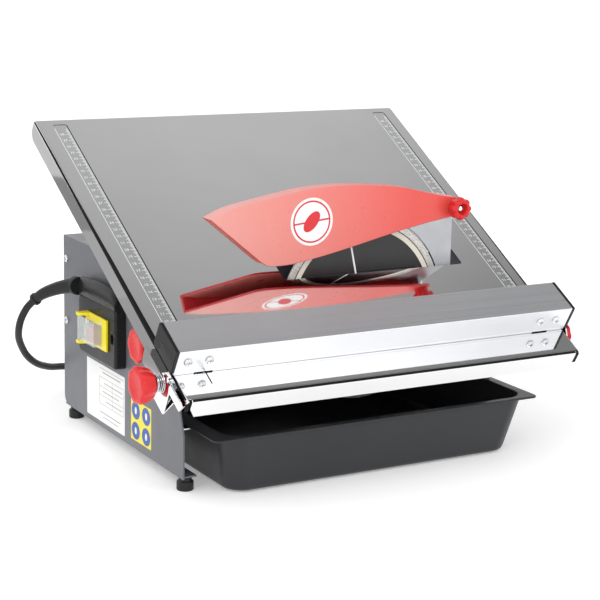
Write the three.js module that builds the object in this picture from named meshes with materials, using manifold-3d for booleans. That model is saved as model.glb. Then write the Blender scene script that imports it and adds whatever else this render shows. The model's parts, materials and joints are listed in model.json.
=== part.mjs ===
// Portable wet saw for ceramic tiles, in millimetres, +Z up.
// X runs along the long edge of the table, parallel to the blade, and Y points to the back.
// The origin is on the floor, under the middle of the machine with its knobs. The pieces are drawn
// from the middle of the table, and the table at its tilt at rest.
import * as THREE from 'three';
import * as BufferGeometryUtils from 'three/addons/utils/BufferGeometryUtils.js';
import Module from 'manifold-3d';

const wasm = await Module();
wasm.setup();

// ---------------------------------------------------------------- driving dimensions

const gap = 0.3;            // between pieces that touch
const sheet = 1.5;          // steel sheet of the table and the housing

const tableMiddle = 11.4;   // from the origin, because the left knob stands further out
const deckWidth = 420;      // table, along X
const deckDepth = 404;      // table, along its slope
const deckFlange = 19;      // turned-down edges of the table
const deckTilt = 29.5;      // degrees, at rest
const hingeY = -36.8;       // tilt axis of the table
const hingeZ = 183.5;
const hingeSetback = 163.4; // from the table's front edge back to the tilt axis
const hingeDrop = 12;       // from the table's top surface down to the tilt axis
const slot = { left: -50, right: 153, near: 139.5, far: 163.5 };

const bodyLeft = -172;      // outer faces of the two side panels
const bodyRight = 202;
const bodyFront = { left: -100, right: -52 };
const bodyRear = 185;
const bodyBottom = 13.5;
const bodyTop = 192.5;

const bladeRadius = 90;
const bladeX = 39;
const bladeY = -58.25;
const bladeZ = 146;
const bladeThickness = 1.8;
const shaftRadius = 7;
const motorRadius = 41;

const guardPivot = { x: 137, z: 241 };
const guardWidth = 19;
const guardWall = 2.4;

const fenceFront = 32.5;    // along the table's slope, from its front edge
const fenceDepth = 39.5;
const fenceHeight = 27;
const fenceHalfLength = 209.5;
const fenceWall = 2;
const clampSetback = 36;    // axis of the clamp knobs, along the slope
const clampDrop = 10;       // and below the table's top

const tray = { left: -161.5, right: 195.5, front: -143, rear: 150, top: 60.5, bottom: 1.5 };

const lockY = -52.7;        // tilt lock, on the left panel
const lockZ = 131.1;
const lockRadius = Math.hypot(lockY - hingeY, lockZ - hingeZ);

const box = { left: -183.5, front: 27, rear: 119, bottom: 86.5, top: 146.5 };

const cordRadius = 3.75;
const coilRadius = 42.5;    // at the middle of the turns
const coilX = 0;
const coilY = 252.5;

// ---------------------------------------------------------------- materials

const finish = (color, roughness, metalness = 0) =>
  new THREE.MeshStandardMaterial({ color, roughness, metalness });
const materials = {
  stainless: finish(0xa9abac, 0.22, 1),
  aluminium: finish(0xc3c6ca, 0.35, 1),
  zinc: finish(0xc9cbcd, 0.3, 1),
  steel: finish(0x8d9094, 0.4, 1),
  greyPaint: finish(0x66676d, 0.5),
  red: finish(0xd22a2e, 0.35),
  black: finish(0x1c1d1f, 0.5),
  charcoal: finish(0x2c2d30, 0.45),
  rubber: finish(0x141415, 0.8),
  yellow: finish(0xf2dd10, 0.4),
  green: finish(0x2f9a63, 0.4),
  clear: finish(0xcfdde0, 0.1),
  copper: finish(0x7d6a52, 0.5, 0.6),
  bladeFace: finish(0x18181a, 0.4, 0.3),
};

// ---------------------------------------------------------------- shape helpers

const vec = (x, y, z = 0) => new THREE.Vector3(x, y, z);
const flat = (x, y) => new THREE.Vector2(x, y);

/** A box between two corners. */
function block(x0, x1, y0, y1, z0, z1) {
  const g = new THREE.BoxGeometry(x1 - x0, y1 - y0, z1 - z0);
  return g.translate((x0 + x1) / 2, (y0 + y1) / 2, (z0 + z1) / 2);
}

/** A cylinder along 'x', 'y' or 'z' from a to b, around the two other coordinates in order. */
function rod(axis, radius, a, b, u, v, sides = 24) {
  const g = new THREE.CylinderGeometry(radius, radius, b - a, sides);
  if (axis === 'x') return g.rotateZ(-Math.PI / 2).translate((a + b) / 2, u, v);
  if (axis === 'y') return g.translate(u, (a + b) / 2, v);
  return g.rotateX(Math.PI / 2).translate(u, v, (a + b) / 2);
}

/** An outline in the (y, z) plane, extruded along X from x0 to x1. */
function alongX(shape, x0, x1) {
  const g = new THREE.ExtrudeGeometry(shape, { depth: x1 - x0, bevelEnabled: false, curveSegments: 8 });
  g.applyMatrix4(new THREE.Matrix4().makeBasis(vec(0, 1, 0), vec(0, 0, 1), vec(1, 0, 0)));
  return g.translate(x0, 0, 0);
}

/** An outline in the (x, z) plane, extruded along Y from y0 to y1. */
function alongY(shape, y0, y1) {
  const g = new THREE.ExtrudeGeometry(shape, { depth: y1 - y0, bevelEnabled: false, curveSegments: 8 });
  return g.rotateX(Math.PI / 2).translate(0, y1, 0);
}

/** An outline in the (x, y) plane, extruded along Z from z0 to z1. */
function alongZ(shape, z0, z1) {
  const g = new THREE.ExtrudeGeometry(shape, { depth: z1 - z0, bevelEnabled: false, curveSegments: 8 });
  return g.translate(0, 0, z0);
}

/** A profile of (radius, place along Y) pairs, turned around the axis at (x, z). */
function turned(profile, x, z, sides = 32) {
  const g = new THREE.LatheGeometry(profile.map(([r, y]) => flat(r, y)), sides);
  return g.translate(x, 0, z);
}

/** A ring of rectangular section around an axis along Y. */
function ring(inner, outer, y0, y1, x, z, sides = 32) {
  return turned([[inner, y0], [outer, y0], [outer, y1], [inner, y1], [inner, y0]], x, z, sides);
}

function toManifold(geometry) {
  const bare = geometry.clone();
  bare.deleteAttribute('normal');
  bare.deleteAttribute('uv');
  const merged = BufferGeometryUtils.mergeVertices(bare, 1e-4);
  return new wasm.Manifold(new wasm.Mesh({
    numProp: 3,
    vertProperties: Float32Array.from(merged.attributes.position.array),
    triVerts: Uint32Array.from(merged.index.array),
  }));
}

function toGeometry(manifold) {
  const mesh = manifold.getMesh();
  const g = new THREE.BufferGeometry();
  g.setAttribute('position', new THREE.BufferAttribute(Float32Array.from(mesh.vertProperties), 3));
  g.setIndex(Array.from(mesh.triVerts));
  g.computeVertexNormals();
  return g;
}

/** Joins a list of geometries, then cuts another list away. */
function carve(added, removed = []) {
  let solid = toManifold(added[0]);
  for (const g of added.slice(1)) solid = solid.add(toManifold(g));
  for (const g of removed) solid = solid.subtract(toManifold(g));
  return toGeometry(solid);
}

/** A closed skin over a row of rings that have the same number of points, capped at both ends. */
function loft(rings) {
  const count = rings[0].length;
  const points = rings.flat();
  const triangles = [];
  for (let k = 0; k + 1 < rings.length; k += 1) {
    for (let i = 0; i < count; i += 1) {
      const a = k * count + i;
      const b = k * count + (i + 1) % count;
      triangles.push(a, b, b + count, a, b + count, a + count);
    }
  }
  const cap = (first, forward) => {
    const middle = vec(0, 0, 0);
    for (let i = 0; i < count; i += 1) middle.addScaledVector(points[first + i], 1 / count);
    const hub = points.push(middle) - 1;
    for (let i = 0; i < count; i += 1) {
      const a = first + i;
      const b = first + (i + 1) % count;
      triangles.push(...(forward ? [a, b, hub] : [b, a, hub]));
    }
  };
  cap(0, false);
  cap((rings.length - 1) * count, true);
  const g = new THREE.BufferGeometry().setFromPoints(points);
  g.setIndex(triangles);
  g.computeVertexNormals();
  return g;
}

/** A rectangle with rounded corners, as a list of points, counter-clockwise. */
function roundedRectangle(x0, x1, y0, y1, radius, steps = 5) {
  const corners = [[x1, y0, -90], [x1, y1, 0], [x0, y1, 90], [x0, y0, 180]];
  return corners.flatMap(([x, y, start]) => {
    const cx = x - Math.sign(x - (x0 + x1) / 2) * radius;
    const cy = y - Math.sign(y - (y0 + y1) / 2) * radius;
    return Array.from({ length: steps + 1 }, (_, i) => {
      const a = THREE.MathUtils.degToRad(start + 90 * i / steps);
      return flat(cx + radius * Math.cos(a), cy + radius * Math.sin(a));
    });
  });
}

/** The outline of a hand knob with rounded lobes. */
function lobedOutline(radius, lobes, depth, u = 0, v = 0) {
  const steps = lobes * 6;
  const points = Array.from({ length: steps }, (_, i) => {
    const a = 2 * Math.PI * i / steps;
    const r = radius - depth * (0.5 - 0.5 * Math.cos(lobes * a)) ** 1.5;
    return flat(u + r * Math.cos(a), v + r * Math.sin(a));
  });
  return new THREE.Shape(points);
}

const group = new THREE.Group();
group.position.x = tableMiddle;
const names = new Set();

function add(parent, name, geometry, material) {
  if (names.has(name)) throw new Error(`two pieces are called ${name}`);
  names.add(name);
  const mesh = new THREE.Mesh(geometry, material);
  mesh.name = name;
  parent.add(mesh);
}

// ---------------------------------------------------------------- housing

/** Outline of a side panel: its front leans, and its top falls away under the tilted table. */
function panelOutline(front) {
  const shape = new THREE.Shape();
  const corner = 11;
  const shoulder = 9;
  shape.moveTo(front, bodyBottom);
  shape.lineTo(bodyRear - corner, bodyBottom);
  shape.absarc(bodyRear - corner, bodyBottom + corner, corner, -Math.PI / 2, 0, false);
  shape.lineTo(bodyRear, bodyTop);
  shape.lineTo(hingeY, bodyTop);
  shape.absarc(hingeY, bodyTop - shoulder, shoulder, Math.PI / 2, Math.PI * 0.75, false);
  shape.lineTo(Math.max(front, -88), 145);
  shape.lineTo(Math.max(front, -92.5), 76);
  shape.lineTo(front, 54);
  return shape;
}

/** A side panel with its edges turned in. side is 1 where the machine lies towards +X, and -1 where not. */
function sidePanel(face, front, side, holes) {
  const span = (a, b) => (side > 0 ? [face + a, face + b] : [face - b, face - a]);
  return carve([
    alongX(panelOutline(front), ...span(0, sheet)),
    block(...span(0, 16), front + 4, bodyRear - 3, bodyBottom, bodyBottom + sheet),
    block(...span(0, 22), -20, bodyRear, bodyTop - sheet, bodyTop),
  ], holes);
}

const screwY = 177;
const screwHeights = [104, 169];
const screwHoles = (a, b) => screwHeights.map((z) => rod('x', 2.4, a, b, screwY, z, 12));
const hingeHole = (a, b) => rod('x', 3.5, a, b, hingeY, hingeZ);

add(group, 'left_side_panel', sidePanel(bodyLeft, bodyFront.left, 1, [
  ...screwHoles(bodyLeft - 1, bodyLeft + 3),
  hingeHole(bodyLeft - 1, bodyLeft + 3),
  rod('x', 4.4, bodyLeft - 1, bodyLeft + 3, lockY, lockZ),
]), materials.greyPaint);
add(group, 'right_side_panel', sidePanel(bodyRight, bodyFront.right, -1, [
  hingeHole(bodyRight - 3, bodyRight + 1),
]), materials.greyPaint);

// The cover closes the back and the top of the motor bay, with slots for the cooling air.
const innerLeft = bodyLeft + sheet + gap;
const innerRight = bodyRight - sheet - gap;
const coverTop = bodyTop - sheet - 0.5;
const louvres = Array.from({ length: 6 }, (_, i) => block(-25, 103, bodyRear - 3, bodyRear + 1,
  98 + 14 * i, 103 + 14 * i));
add(group, 'rear_cover', carve([
  block(innerLeft, innerRight, bodyRear - sheet - gap, bodyRear - gap, 16, coverTop),
  block(innerLeft, innerRight, -15, bodyRear - gap, coverTop - sheet, coverTop),
  block(innerLeft, innerLeft + sheet, 165, bodyRear - gap, 30, coverTop),
  block(innerRight - sheet, innerRight, 165, bodyRear - gap, 30, coverTop),
], [...louvres, ...screwHoles(innerLeft - 1, innerLeft + 3)]), materials.greyPaint);

// The bulkhead carries the motor and keeps the water out of the motor bay.
const bulkheadY = -29;
add(group, 'bulkhead', carve([
  block(-163, 192, bulkheadY, bulkheadY + sheet, 68.5, 188.5),
  block(-163, 192, bulkheadY, -8, 187, 188.5),
  block(innerLeft, -162, bulkheadY, bulkheadY + sheet, 68.5, 116.5),
  block(191, innerRight, bulkheadY, bulkheadY + sheet, 68.5, 116.5),
  block(innerLeft, innerLeft + sheet, bulkheadY, -12, 68.5, 116.5),
  block(innerRight - sheet, innerRight, bulkheadY, -12, 68.5, 116.5),
], [rod('y', 11, bulkheadY - 1, bulkheadY + 3, bladeX, bladeZ)]), materials.greyPaint);

/** A rail that the rim of the tray hangs on, screwed to the inside of a side panel. */
function trayRail(wall, front, side, reach) {
  const span = (a, b) => (side > 0 ? [wall + a, wall + b] : [wall - b, wall - a]);
  return carve([
    block(...span(0, sheet), front, 160, 44, 58.1),
    block(...span(0, reach), front, 160, 56.6, 58.1),
  ]);
}
const footInset = 8;
const frontFoot = { left: bodyFront.left + 12, right: bodyFront.right + 12 };
add(group, 'tray_rail_left', trayRail(innerLeft, frontFoot.left, 1, 20), materials.zinc);
add(group, 'tray_rail_right', trayRail(innerRight, frontFoot.right, -1, 10), materials.zinc);

/** A rubber foot: a short stem under the panel and a wider pad on the floor. */
function foot(x, y) {
  const top = bodyBottom - gap;
  const profile = [[0, 0], [7, 0], [7.5, 1], [7.5, 8], [6.5, 9.5], [6, top], [0, top]];
  const g = new THREE.LatheGeometry(profile.map(([r, z]) => flat(r, z)), 20);
  return g.rotateX(Math.PI / 2).translate(x, y, 0);
}
const rearFoot = { left: 172, right: 172 };
for (const [place, y] of [['front', frontFoot], ['rear', rearFoot]]) {
  add(group, `foot_${place}_left`, foot(bodyLeft + footInset, y.left), materials.rubber);
  add(group, `foot_${place}_right`, foot(bodyRight - footInset, y.right), materials.rubber);
}

/** A pan-head screw through the left panel into the rear cover. */
function panelScrew(z) {
  const head = bodyLeft - gap;
  return carve([
    rod('x', 4, head - 2.2, head, screwY, z, 16),
    rod('x', 2, head - 0.5, head + 6, screwY, z, 12),
  ]);
}
screwHeights.forEach((z, i) => add(group, `panel_screw_${i + 1}`, panelScrew(z), materials.zinc));

// ---------------------------------------------------------------- motor, shaft and blade

const motorFront = bulkheadY + sheet + gap;
const bearingOuter = 16;
add(group, 'motor_front_bell', turned([
  [shaftRadius + 2, motorFront], [motorRadius, motorFront], [motorRadius, motorFront + 16],
  [bearingOuter + gap, motorFront + 16], [bearingOuter + gap, motorFront + 3],
  [shaftRadius + 2, motorFront + 3], [shaftRadius + 2, motorFront],
], bladeX, bladeZ), materials.aluminium);
add(group, 'front_bearing', ring(shaftRadius + gap, bearingOuter, motorFront + 3 + gap,
  motorFront + 14, bladeX, bladeZ, 24), materials.steel);
const canFront = motorFront + 16 + gap;
const canRear = 92;
add(group, 'motor_can', turned([
  [motorRadius - 3, canFront], [motorRadius, canFront], [motorRadius, canRear],
  [shaftRadius + 2, canRear], [shaftRadius + 2, canRear - 3], [bearingOuter + gap, canRear - 3],
  [bearingOuter + gap, canRear - 14], [bearingOuter + 4, canRear - 14],
  [bearingOuter + 4, canRear - 3], [motorRadius - 3, canRear - 3], [motorRadius - 3, canFront],
], bladeX, bladeZ), materials.greyPaint);
add(group, 'rear_bearing', ring(shaftRadius + gap, bearingOuter, canRear - 14,
  canRear - 3 - gap, bladeX, bladeZ, 24), materials.steel);
add(group, 'stator', ring(24, motorRadius - 3 - gap, 4, 68, bladeX, bladeZ), materials.copper);
const cowlRear = canRear + 26;
add(group, 'fan_cowl', turned([
  [motorRadius - 2, canRear + gap], [motorRadius, canRear + gap], [motorRadius, cowlRear],
  [18, cowlRear], [18, cowlRear - 2], [motorRadius - 2, cowlRear - 2],
  [motorRadius - 2, canRear + gap],
], bladeX, bladeZ), materials.black);
add(group, 'run_capacitor', rod('y', 17, motorFront, motorFront + 68, -48, 140), materials.black);

const shaftFront = -76;
const shaftRear = canRear + 20;
add(group, 'rotor_shaft', turned([
  [0, shaftFront], [shaftRadius, shaftFront], [shaftRadius, 6], [23.4, 6], [23.4, 66],
  [shaftRadius, 66], [shaftRadius, shaftRear], [0, shaftRear],
], bladeX, bladeZ), materials.steel);

/** The cooling fan: a hub with flat blades, on the back end of the shaft. */
function coolingFan() {
  const front = canRear + 4;
  const back = canRear + 18;
  const blades = Array.from({ length: 6 }, (_, i) => {
    const paddle = block(10, 35, front, back, -1, 1);
    return paddle.rotateY(i * Math.PI / 3).translate(bladeX, 0, bladeZ);
  });
  const bore = rod('y', shaftRadius + gap, front - 1, back + 1, bladeX, bladeZ);
  return carve([rod('y', 13, front, back, bladeX, bladeZ), ...blades], [bore]);
}
add(group, 'cooling_fan', coolingFan(), materials.black);

const bladeFront = bladeY - bladeThickness / 2;
const bladeBack = bladeY + bladeThickness / 2;
const flangeRadius = 21;
const spigotRadius = 11;
add(group, 'inner_flange', turned([
  [shaftRadius + gap, bladeBack + gap], [flangeRadius, bladeBack + gap],
  [flangeRadius, bladeBack + 5], [14, bladeBack + 8], [12, -36], [shaftRadius + gap, -36],
  [shaftRadius + gap, bladeBack + gap],
], bladeX, bladeZ, 24), materials.zinc);
add(group, 'blade', turned([
  [spigotRadius + 0.2, bladeFront], [83, bladeFront], [83.5, bladeFront - 0.2],
  [bladeRadius, bladeFront - 0.2], [bladeRadius, bladeBack + 0.2], [83.5, bladeBack + 0.2],
  [83, bladeBack], [spigotRadius + 0.2, bladeBack], [spigotRadius + 0.2, bladeFront],
], bladeX, bladeZ, 64), materials.bladeFace);
add(group, 'outer_flange', turned([
  [shaftRadius + gap, bladeFront - 5], [16, bladeFront - 5], [flangeRadius, bladeFront - 2],
  [flangeRadius, bladeFront - gap], [spigotRadius, bladeFront - gap], [spigotRadius, bladeBack - 0.2],
  [shaftRadius + gap, bladeBack - 0.2], [shaftRadius + gap, bladeFront - 5],
], bladeX, bladeZ, 24), materials.zinc);
add(group, 'arbor_nut', carve(
  [rod('y', 12, bladeFront - 13, bladeFront - 5 - gap, bladeX, bladeZ, 6)],
  [rod('y', shaftRadius + gap, bladeFront - 14, bladeFront - 4, bladeX, bladeZ)],
), materials.steel);

// ---------------------------------------------------------------- riving knife and guard

const knifeRight = 141.2;
const knifeGap = 91.8;      // radius of its front edge around the blade's axis
const boltRadius = 3;

/** The riving knife follows the blade's edge, and carries the guard at its top. */
function rivingKnife() {
  const shape = new THREE.Shape();
  const arcAt = (z) => flat(bladeX + Math.sqrt(knifeGap ** 2 - (z - bladeZ) ** 2), z);
  const low = arcAt(96);
  const high = arcAt(222);
  const cap = 7;
  shape.moveTo(low.x, low.y);
  shape.lineTo(knifeRight, low.y);
  shape.lineTo(knifeRight, guardPivot.z - cap);
  shape.lineTo(guardPivot.x + cap * 0.9, guardPivot.z - 3);
  shape.absarc(guardPivot.x, guardPivot.z, cap, -0.4, Math.PI * 0.9, false);
  shape.lineTo(high.x, high.y);
  const angle = (p) => Math.atan2(p.y - bladeZ, p.x - bladeX);
  shape.absarc(bladeX, bladeZ, knifeGap, angle(high), angle(low), true);
  const bolt = rod('y', boltRadius + 0.4, bladeY - 5, bladeY + 5, guardPivot.x, guardPivot.z, 16);
  return carve([alongY(shape, bladeY - 0.9, bladeY + 0.9)], [bolt]);
}
add(group, 'riving_knife', rivingKnife(), materials.zinc);
add(group, 'knife_bracket', carve([
  block(122, knifeRight, bladeY + 0.9 + gap, bulkheadY - gap, 96, 110),
  block(122, knifeRight, bulkheadY - 4 - gap, bulkheadY - gap, 84, 124),
]), materials.zinc);

/** Side outline of the guard, as a closed list of points; inset lowers the top edge by that much. */
function guardOutline(inset) {
  const top = new THREE.SplineCurve([
    flat(-130.3, 244.7), flat(-111, 252.6), flat(-90, 257.2), flat(-38, 266), flat(-5.7, 268.6),
    flat(27.4, 268.2), flat(72.8, 264.2), flat(96, 259.3), flat(119.8, 253.8),
    flat(guardPivot.x, guardPivot.z + 10),
  ]).getPoints(20);
  const end = Array.from({ length: 5 }, (_, i) => {
    const a = Math.PI / 2 - Math.PI * (i + 1) / 6;
    return flat(guardPivot.x + 10 * Math.cos(a), guardPivot.z + 10 * Math.sin(a));
  });
  const bottom = [
    flat(134, 231.5), flat(109.2, 227.6), flat(74.6, 221.1), flat(40.6, 213.6), flat(7.3, 206.3),
    flat(-25.5, 200.1), flat(-47, 197.2), flat(-66, 196.7), flat(-72, 197.6), flat(-77, 201.4),
  ];
  return [...top.map((p) => flat(p.x, p.y - inset)), ...end, ...bottom].reverse();
}

/** The guard is a hood over the blade, open below, at its front end and behind the knife. */
function bladeGuard() {
  const half = guardWidth / 2;
  const hood = alongY(new THREE.Shape(guardOutline(0)), bladeY - half, bladeY + half);
  const ceiling = guardOutline(guardWall).filter((p) => p.y > 236 && p.x < guardPivot.x + 1)
    .sort((a, b) => b.x - a.x);
  const hollow = new THREE.Shape([
    flat(-140, 190), flat(160, 190), flat(160, 262), flat(guardPivot.x, 262), ...ceiling,
    flat(-140, 240),
  ]);
  const inside = alongY(hollow, bladeY - half + guardWall, bladeY + half - guardWall);
  const bolt = rod('y', boltRadius + 0.4, bladeY - 20, bladeY + 20, guardPivot.x, guardPivot.z, 16);
  return carve([hood], [inside, bolt]);
}
add(group, 'blade_guard', bladeGuard(), materials.red);

const guardNear = bladeY - guardWidth / 2;
const guardFar = bladeY + guardWidth / 2;
add(group, 'guard_bolt', carve([
  rod('y', boltRadius, guardNear - 13, guardFar + 1, guardPivot.x, guardPivot.z, 16),
  rod('y', 5.5, guardFar + gap, guardFar + 4, guardPivot.x, guardPivot.z, 6),
]), materials.zinc);
add(group, 'guard_knob', carve(
  [alongY(lobedOutline(11, 6, 2, guardPivot.x, guardPivot.z), guardNear - 16, guardNear - gap)],
  [
    rod('y', boltRadius + 0.4, guardNear - 17, guardNear + 1, guardPivot.x, guardPivot.z, 16),
    rod('y', 6, guardNear - 17, guardNear - 11, guardPivot.x, guardPivot.z, 16),
  ],
), materials.red);

// ---------------------------------------------------------------- tilting table

// Pieces on the table are placed by (x, distance up the slope, height over its top surface).
const table = new THREE.Group();
table.position.set(0, hingeY, hingeZ);
table.rotation.x = THREE.MathUtils.degToRad(deckTilt);
const deck = new THREE.Group();
deck.position.set(0, -hingeSetback, hingeDrop);
table.add(deck);
group.add(table);

const halfDeck = deckWidth / 2;

function deckPlate() {
  const top = new THREE.Shape([flat(-halfDeck, 0), flat(halfDeck, 0), flat(halfDeck, deckDepth),
    flat(-halfDeck, deckDepth)]);
  const opening = new THREE.Path([flat(slot.left, slot.near), flat(slot.left, slot.far),
    flat(slot.right, slot.far), flat(slot.right, slot.near)]);
  top.holes.push(opening);
  const sideEdge = new THREE.Shape();
  const round = 10;
  sideEdge.moveTo(0.5, -0.5);
  sideEdge.lineTo(0.5, -9);
  sideEdge.lineTo(9, -deckFlange);
  sideEdge.lineTo(deckDepth - round, -deckFlange);
  sideEdge.absarc(deckDepth - round, -deckFlange + round, round, -Math.PI / 2, 0, false);
  sideEdge.lineTo(deckDepth, -0.5);
  const frontEdge = new THREE.Shape([flat(-halfDeck + 5.5, -0.5), flat(-halfDeck + 5, -10),
    flat(-halfDeck + 10.5, -deckFlange), flat(halfDeck - 12, -deckFlange), flat(halfDeck - 5, -14.5),
    flat(halfDeck - 4.5, -0.5)]);
  return carve([
    alongZ(top, -sheet, 0),
    alongX(sideEdge, -halfDeck, -halfDeck + sheet),
    alongX(sideEdge, halfDeck - sheet, halfDeck),
    alongY(frontEdge, 0, sheet),
    block(-halfDeck + 8, halfDeck - 8, deckDepth - sheet, deckDepth, -12, -0.5),
  ]);
}
add(deck, 'deck_plate', deckPlate(), materials.stainless);

/** A hinge plate hangs under the table beside a side panel, in coordinates from the tilt axis. */
function hingePlate(inner, side, quadrant) {
  const span = (a, b) => (side > 0 ? [inner + a, inner + b] : [inner - b, inner - a]);
  const angle = (degrees) => THREE.MathUtils.degToRad(degrees);
  const top = hingeDrop - sheet - gap;
  const shape = new THREE.Shape();
  if (quadrant) {
    const rim = lockRadius + 7.5;
    shape.moveTo(12, top);
    shape.lineTo(-60, top);
    shape.lineTo(rim * Math.cos(angle(-163)), rim * Math.sin(angle(-163)));
    shape.absarc(0, 0, rim, angle(-163), angle(-96), false);
    const slotHalf = 4.5;
    const path = new THREE.Path();
    path.absarc(0, 0, lockRadius + slotHalf, angle(-157), angle(-102), false);
    path.absarc(0, 0, lockRadius - slotHalf, angle(-102), angle(-157), true);
    shape.holes.push(path);
  } else {
    shape.moveTo(12, top);
    shape.lineTo(-40, top);
    shape.lineTo(-30, -2);
    shape.lineTo(-10, -16);
    shape.lineTo(12, -16);
  }
  return carve([
    alongX(shape, ...span(0, 2)),
    block(...span(0, 16), quadrant ? -60 : -40, 5, top - 2, top),
  ], [rod('x', 3.5, inner - 4, inner + 4, 0, 0)]);
}
const plateLeft = innerLeft + 1.5;
const plateRight = innerRight - 1.5;
add(table, 'hinge_plate_left', hingePlate(plateLeft, 1, true), materials.zinc);
add(table, 'hinge_plate_right', hingePlate(plateRight, -1, false), materials.zinc);

/** A hinge pin through a side panel and its hinge plate, with a head outside. */
function hingePin(face, side) {
  const span = (a, b) => (side > 0 ? [face + a, face + b] : [face - b, face - a]);
  return carve([
    rod('x', 5.5, ...span(-gap - 2.5, -gap), hingeY, hingeZ),
    rod('x', 3.1, ...span(-gap - 1, 7.5), hingeY, hingeZ),
  ]);
}
add(group, 'hinge_pin_left', hingePin(bodyLeft, 1), materials.zinc);
add(group, 'hinge_pin_right', hingePin(bodyRight, -1), materials.zinc);

// ---------------------------------------------------------------- tilt lock

const lockBoltEnd = bodyLeft - 12;
add(group, 'tilt_bolt', carve([
  rod('x', 4, lockBoltEnd, plateLeft + 2.6, lockY, lockZ),
  rod('x', 8, plateLeft + 2 + gap, plateLeft + 6, lockY, lockZ, 6),
]), materials.zinc);

/** A hand knob along X. Its wide end is the grip, and a collar reaches back to what it clamps. */
function handKnob(gripOut, gripIn, collarIn, y, z, radius, bore) {
  const side = Math.sign(collarIn - gripOut);
  const ordered = (a, b) => (a < b ? [a, b] : [b, a]);
  const outline = lobedOutline(radius, 7, 3.4, y, z);
  return carve([
    alongX(outline, ...ordered(gripOut, gripIn)),
    rod('x', radius * 0.55, ...ordered(gripIn - side, collarIn), y, z),
  ], bore ? [rod('x', bore.radius, ...ordered(bore.from, collarIn + side), y, z)] : []);
}
add(group, 'tilt_knob', handKnob(-199, -182, bodyLeft - gap, lockY, lockZ, 16.5,
  { radius: 4.3, from: lockBoltEnd - gap }), materials.red);

// ---------------------------------------------------------------- fence

const fenceBack = fenceFront + fenceDepth;
const fenceBase = 0.3;
const fenceScrewHeight = 14.5;
const fenceScrewPlaces = [-199, -178.5, 176, 194.5];

/** The fence rail is a channel, open below, with shallow grooves along its top. */
function fenceRail() {
  const grooves = [44, 50, 56, 62];
  const shape = new THREE.Shape();
  shape.moveTo(fenceFront, fenceBase);
  shape.lineTo(fenceFront + fenceWall, fenceBase);
  shape.lineTo(fenceFront + fenceWall, fenceHeight - fenceWall);
  shape.lineTo(fenceBack - fenceWall, fenceHeight - fenceWall);
  shape.lineTo(fenceBack - fenceWall, fenceBase);
  shape.lineTo(fenceBack, fenceBase);
  shape.lineTo(fenceBack, fenceHeight);
  for (const s of grooves.toReversed()) {
    shape.lineTo(s + 0.6, fenceHeight);
    shape.lineTo(s, fenceHeight - 0.4);
    shape.lineTo(s - 0.6, fenceHeight);
  }
  shape.lineTo(fenceFront, fenceHeight);
  const holes = fenceScrewPlaces.map((x) => rod('y', 2.2, fenceFront - 1, fenceFront + 3, x,
    fenceScrewHeight, 12));
  return carve([alongX(shape, -fenceHalfLength, fenceHalfLength)], holes);
}
add(deck, 'fence_rail', fenceRail(), materials.aluminium);

/**
 * An end of the fence: cap, clamp bracket and knob. side is -1 or 1. The left bracket stands off from
 * the table and ends in a folded hook, and the right one lies close to the table, with a flat knob.
 */
function fenceEnd(side, name) {
  const span = (a, b) => (side > 0 ? [a, b] : [-b, -a]);
  const capIn = fenceHalfLength + gap;
  add(deck, `fence_cap_${name}`, carve([
    block(...span(capIn, capIn + 3), fenceFront, fenceBack, 2.4, fenceHeight),
  ]), materials.black);

  const left = side < 0;
  const ear = halfDeck + (left ? 9.3 : 1.3);
  const hooked = [flat(71, 1.9), flat(31, 1.9), flat(29, 7), flat(24, 8), flat(22, 4), flat(17, 4),
    flat(15.5, -2), flat(14.5, -26.5), flat(37.5, -26.5), flat(52, -15), flat(69, -15), flat(71, -5)];
  const plain = [flat(71, 1.9), flat(31, 1.9), flat(26, -3), flat(26, -22), flat(46, -22), flat(52, -15),
    flat(69, -15), flat(71, -5)];
  const lip = new THREE.Shape([flat(side * ear, -26.5), flat(side * (ear + 1), -26.5),
    flat(side * (ear - 5.5), -14), flat(side * (ear - 6.7), -14.6)]);
  add(deck, `fence_bracket_${name}`, carve([
    alongX(new THREE.Shape(left ? hooked : plain), ...span(ear, ear + sheet)),
    ...(left ? [alongY(lip, 14.5, 37.5)] : []),
    block(...span(170, ear + 1), 36, 66, 0.4, 1.9),
    block(...span(170, 206), 34.8, 36.3, 0.4, 22),
  ], [
    ...fenceScrewPlaces.map((x) => rod('y', 2.2, 34, 38, x, fenceScrewHeight, 12)),
    rod('x', 3.4, ...span(ear - 1, ear + 3), clampSetback, -clampDrop, 16),
  ]), materials.zinc);

  const knobIn = ear + sheet + gap;
  const [gripOut, gripIn, gripRadius] = left ? [20.4, 8.9, 17] : [5.6, 0.9, 12];
  const knob = handKnob(side * (knobIn + gripOut), side * (knobIn + gripIn), side * knobIn, clampSetback,
    -clampDrop, gripRadius, null);
  const stud = rod('x', 3, ...span(halfDeck + gap, knobIn + 2), clampSetback, -clampDrop, 16);
  add(deck, `fence_knob_${name}`, carve([knob, stud]), materials.red);
}
fenceEnd(-1, 'left');
fenceEnd(1, 'right');
fenceScrewPlaces.forEach((x, i) => add(deck, `fence_screw_${i + 1}`, carve([
  rod('y', 3.7, fenceFront - 2.2, fenceFront - gap, x, fenceScrewHeight, 16),
  rod('y', 1.8, fenceFront - 1, 38.5, x, fenceScrewHeight, 12),
]), materials.zinc));

// ---------------------------------------------------------------- switch

const wall = 2;
const frameY = [43, 93.5];
const frameZ = [101.7, 132.8];
const opening = { front: 54, rear: 90.9, bottom: 104.3, top: 125 };
const frameOut = -186;
const boxIn = bodyLeft - gap;
const ductZ = 152.5;
const ductX = -182;
const ductFront = 38;       // centre of the duct's round end

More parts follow.
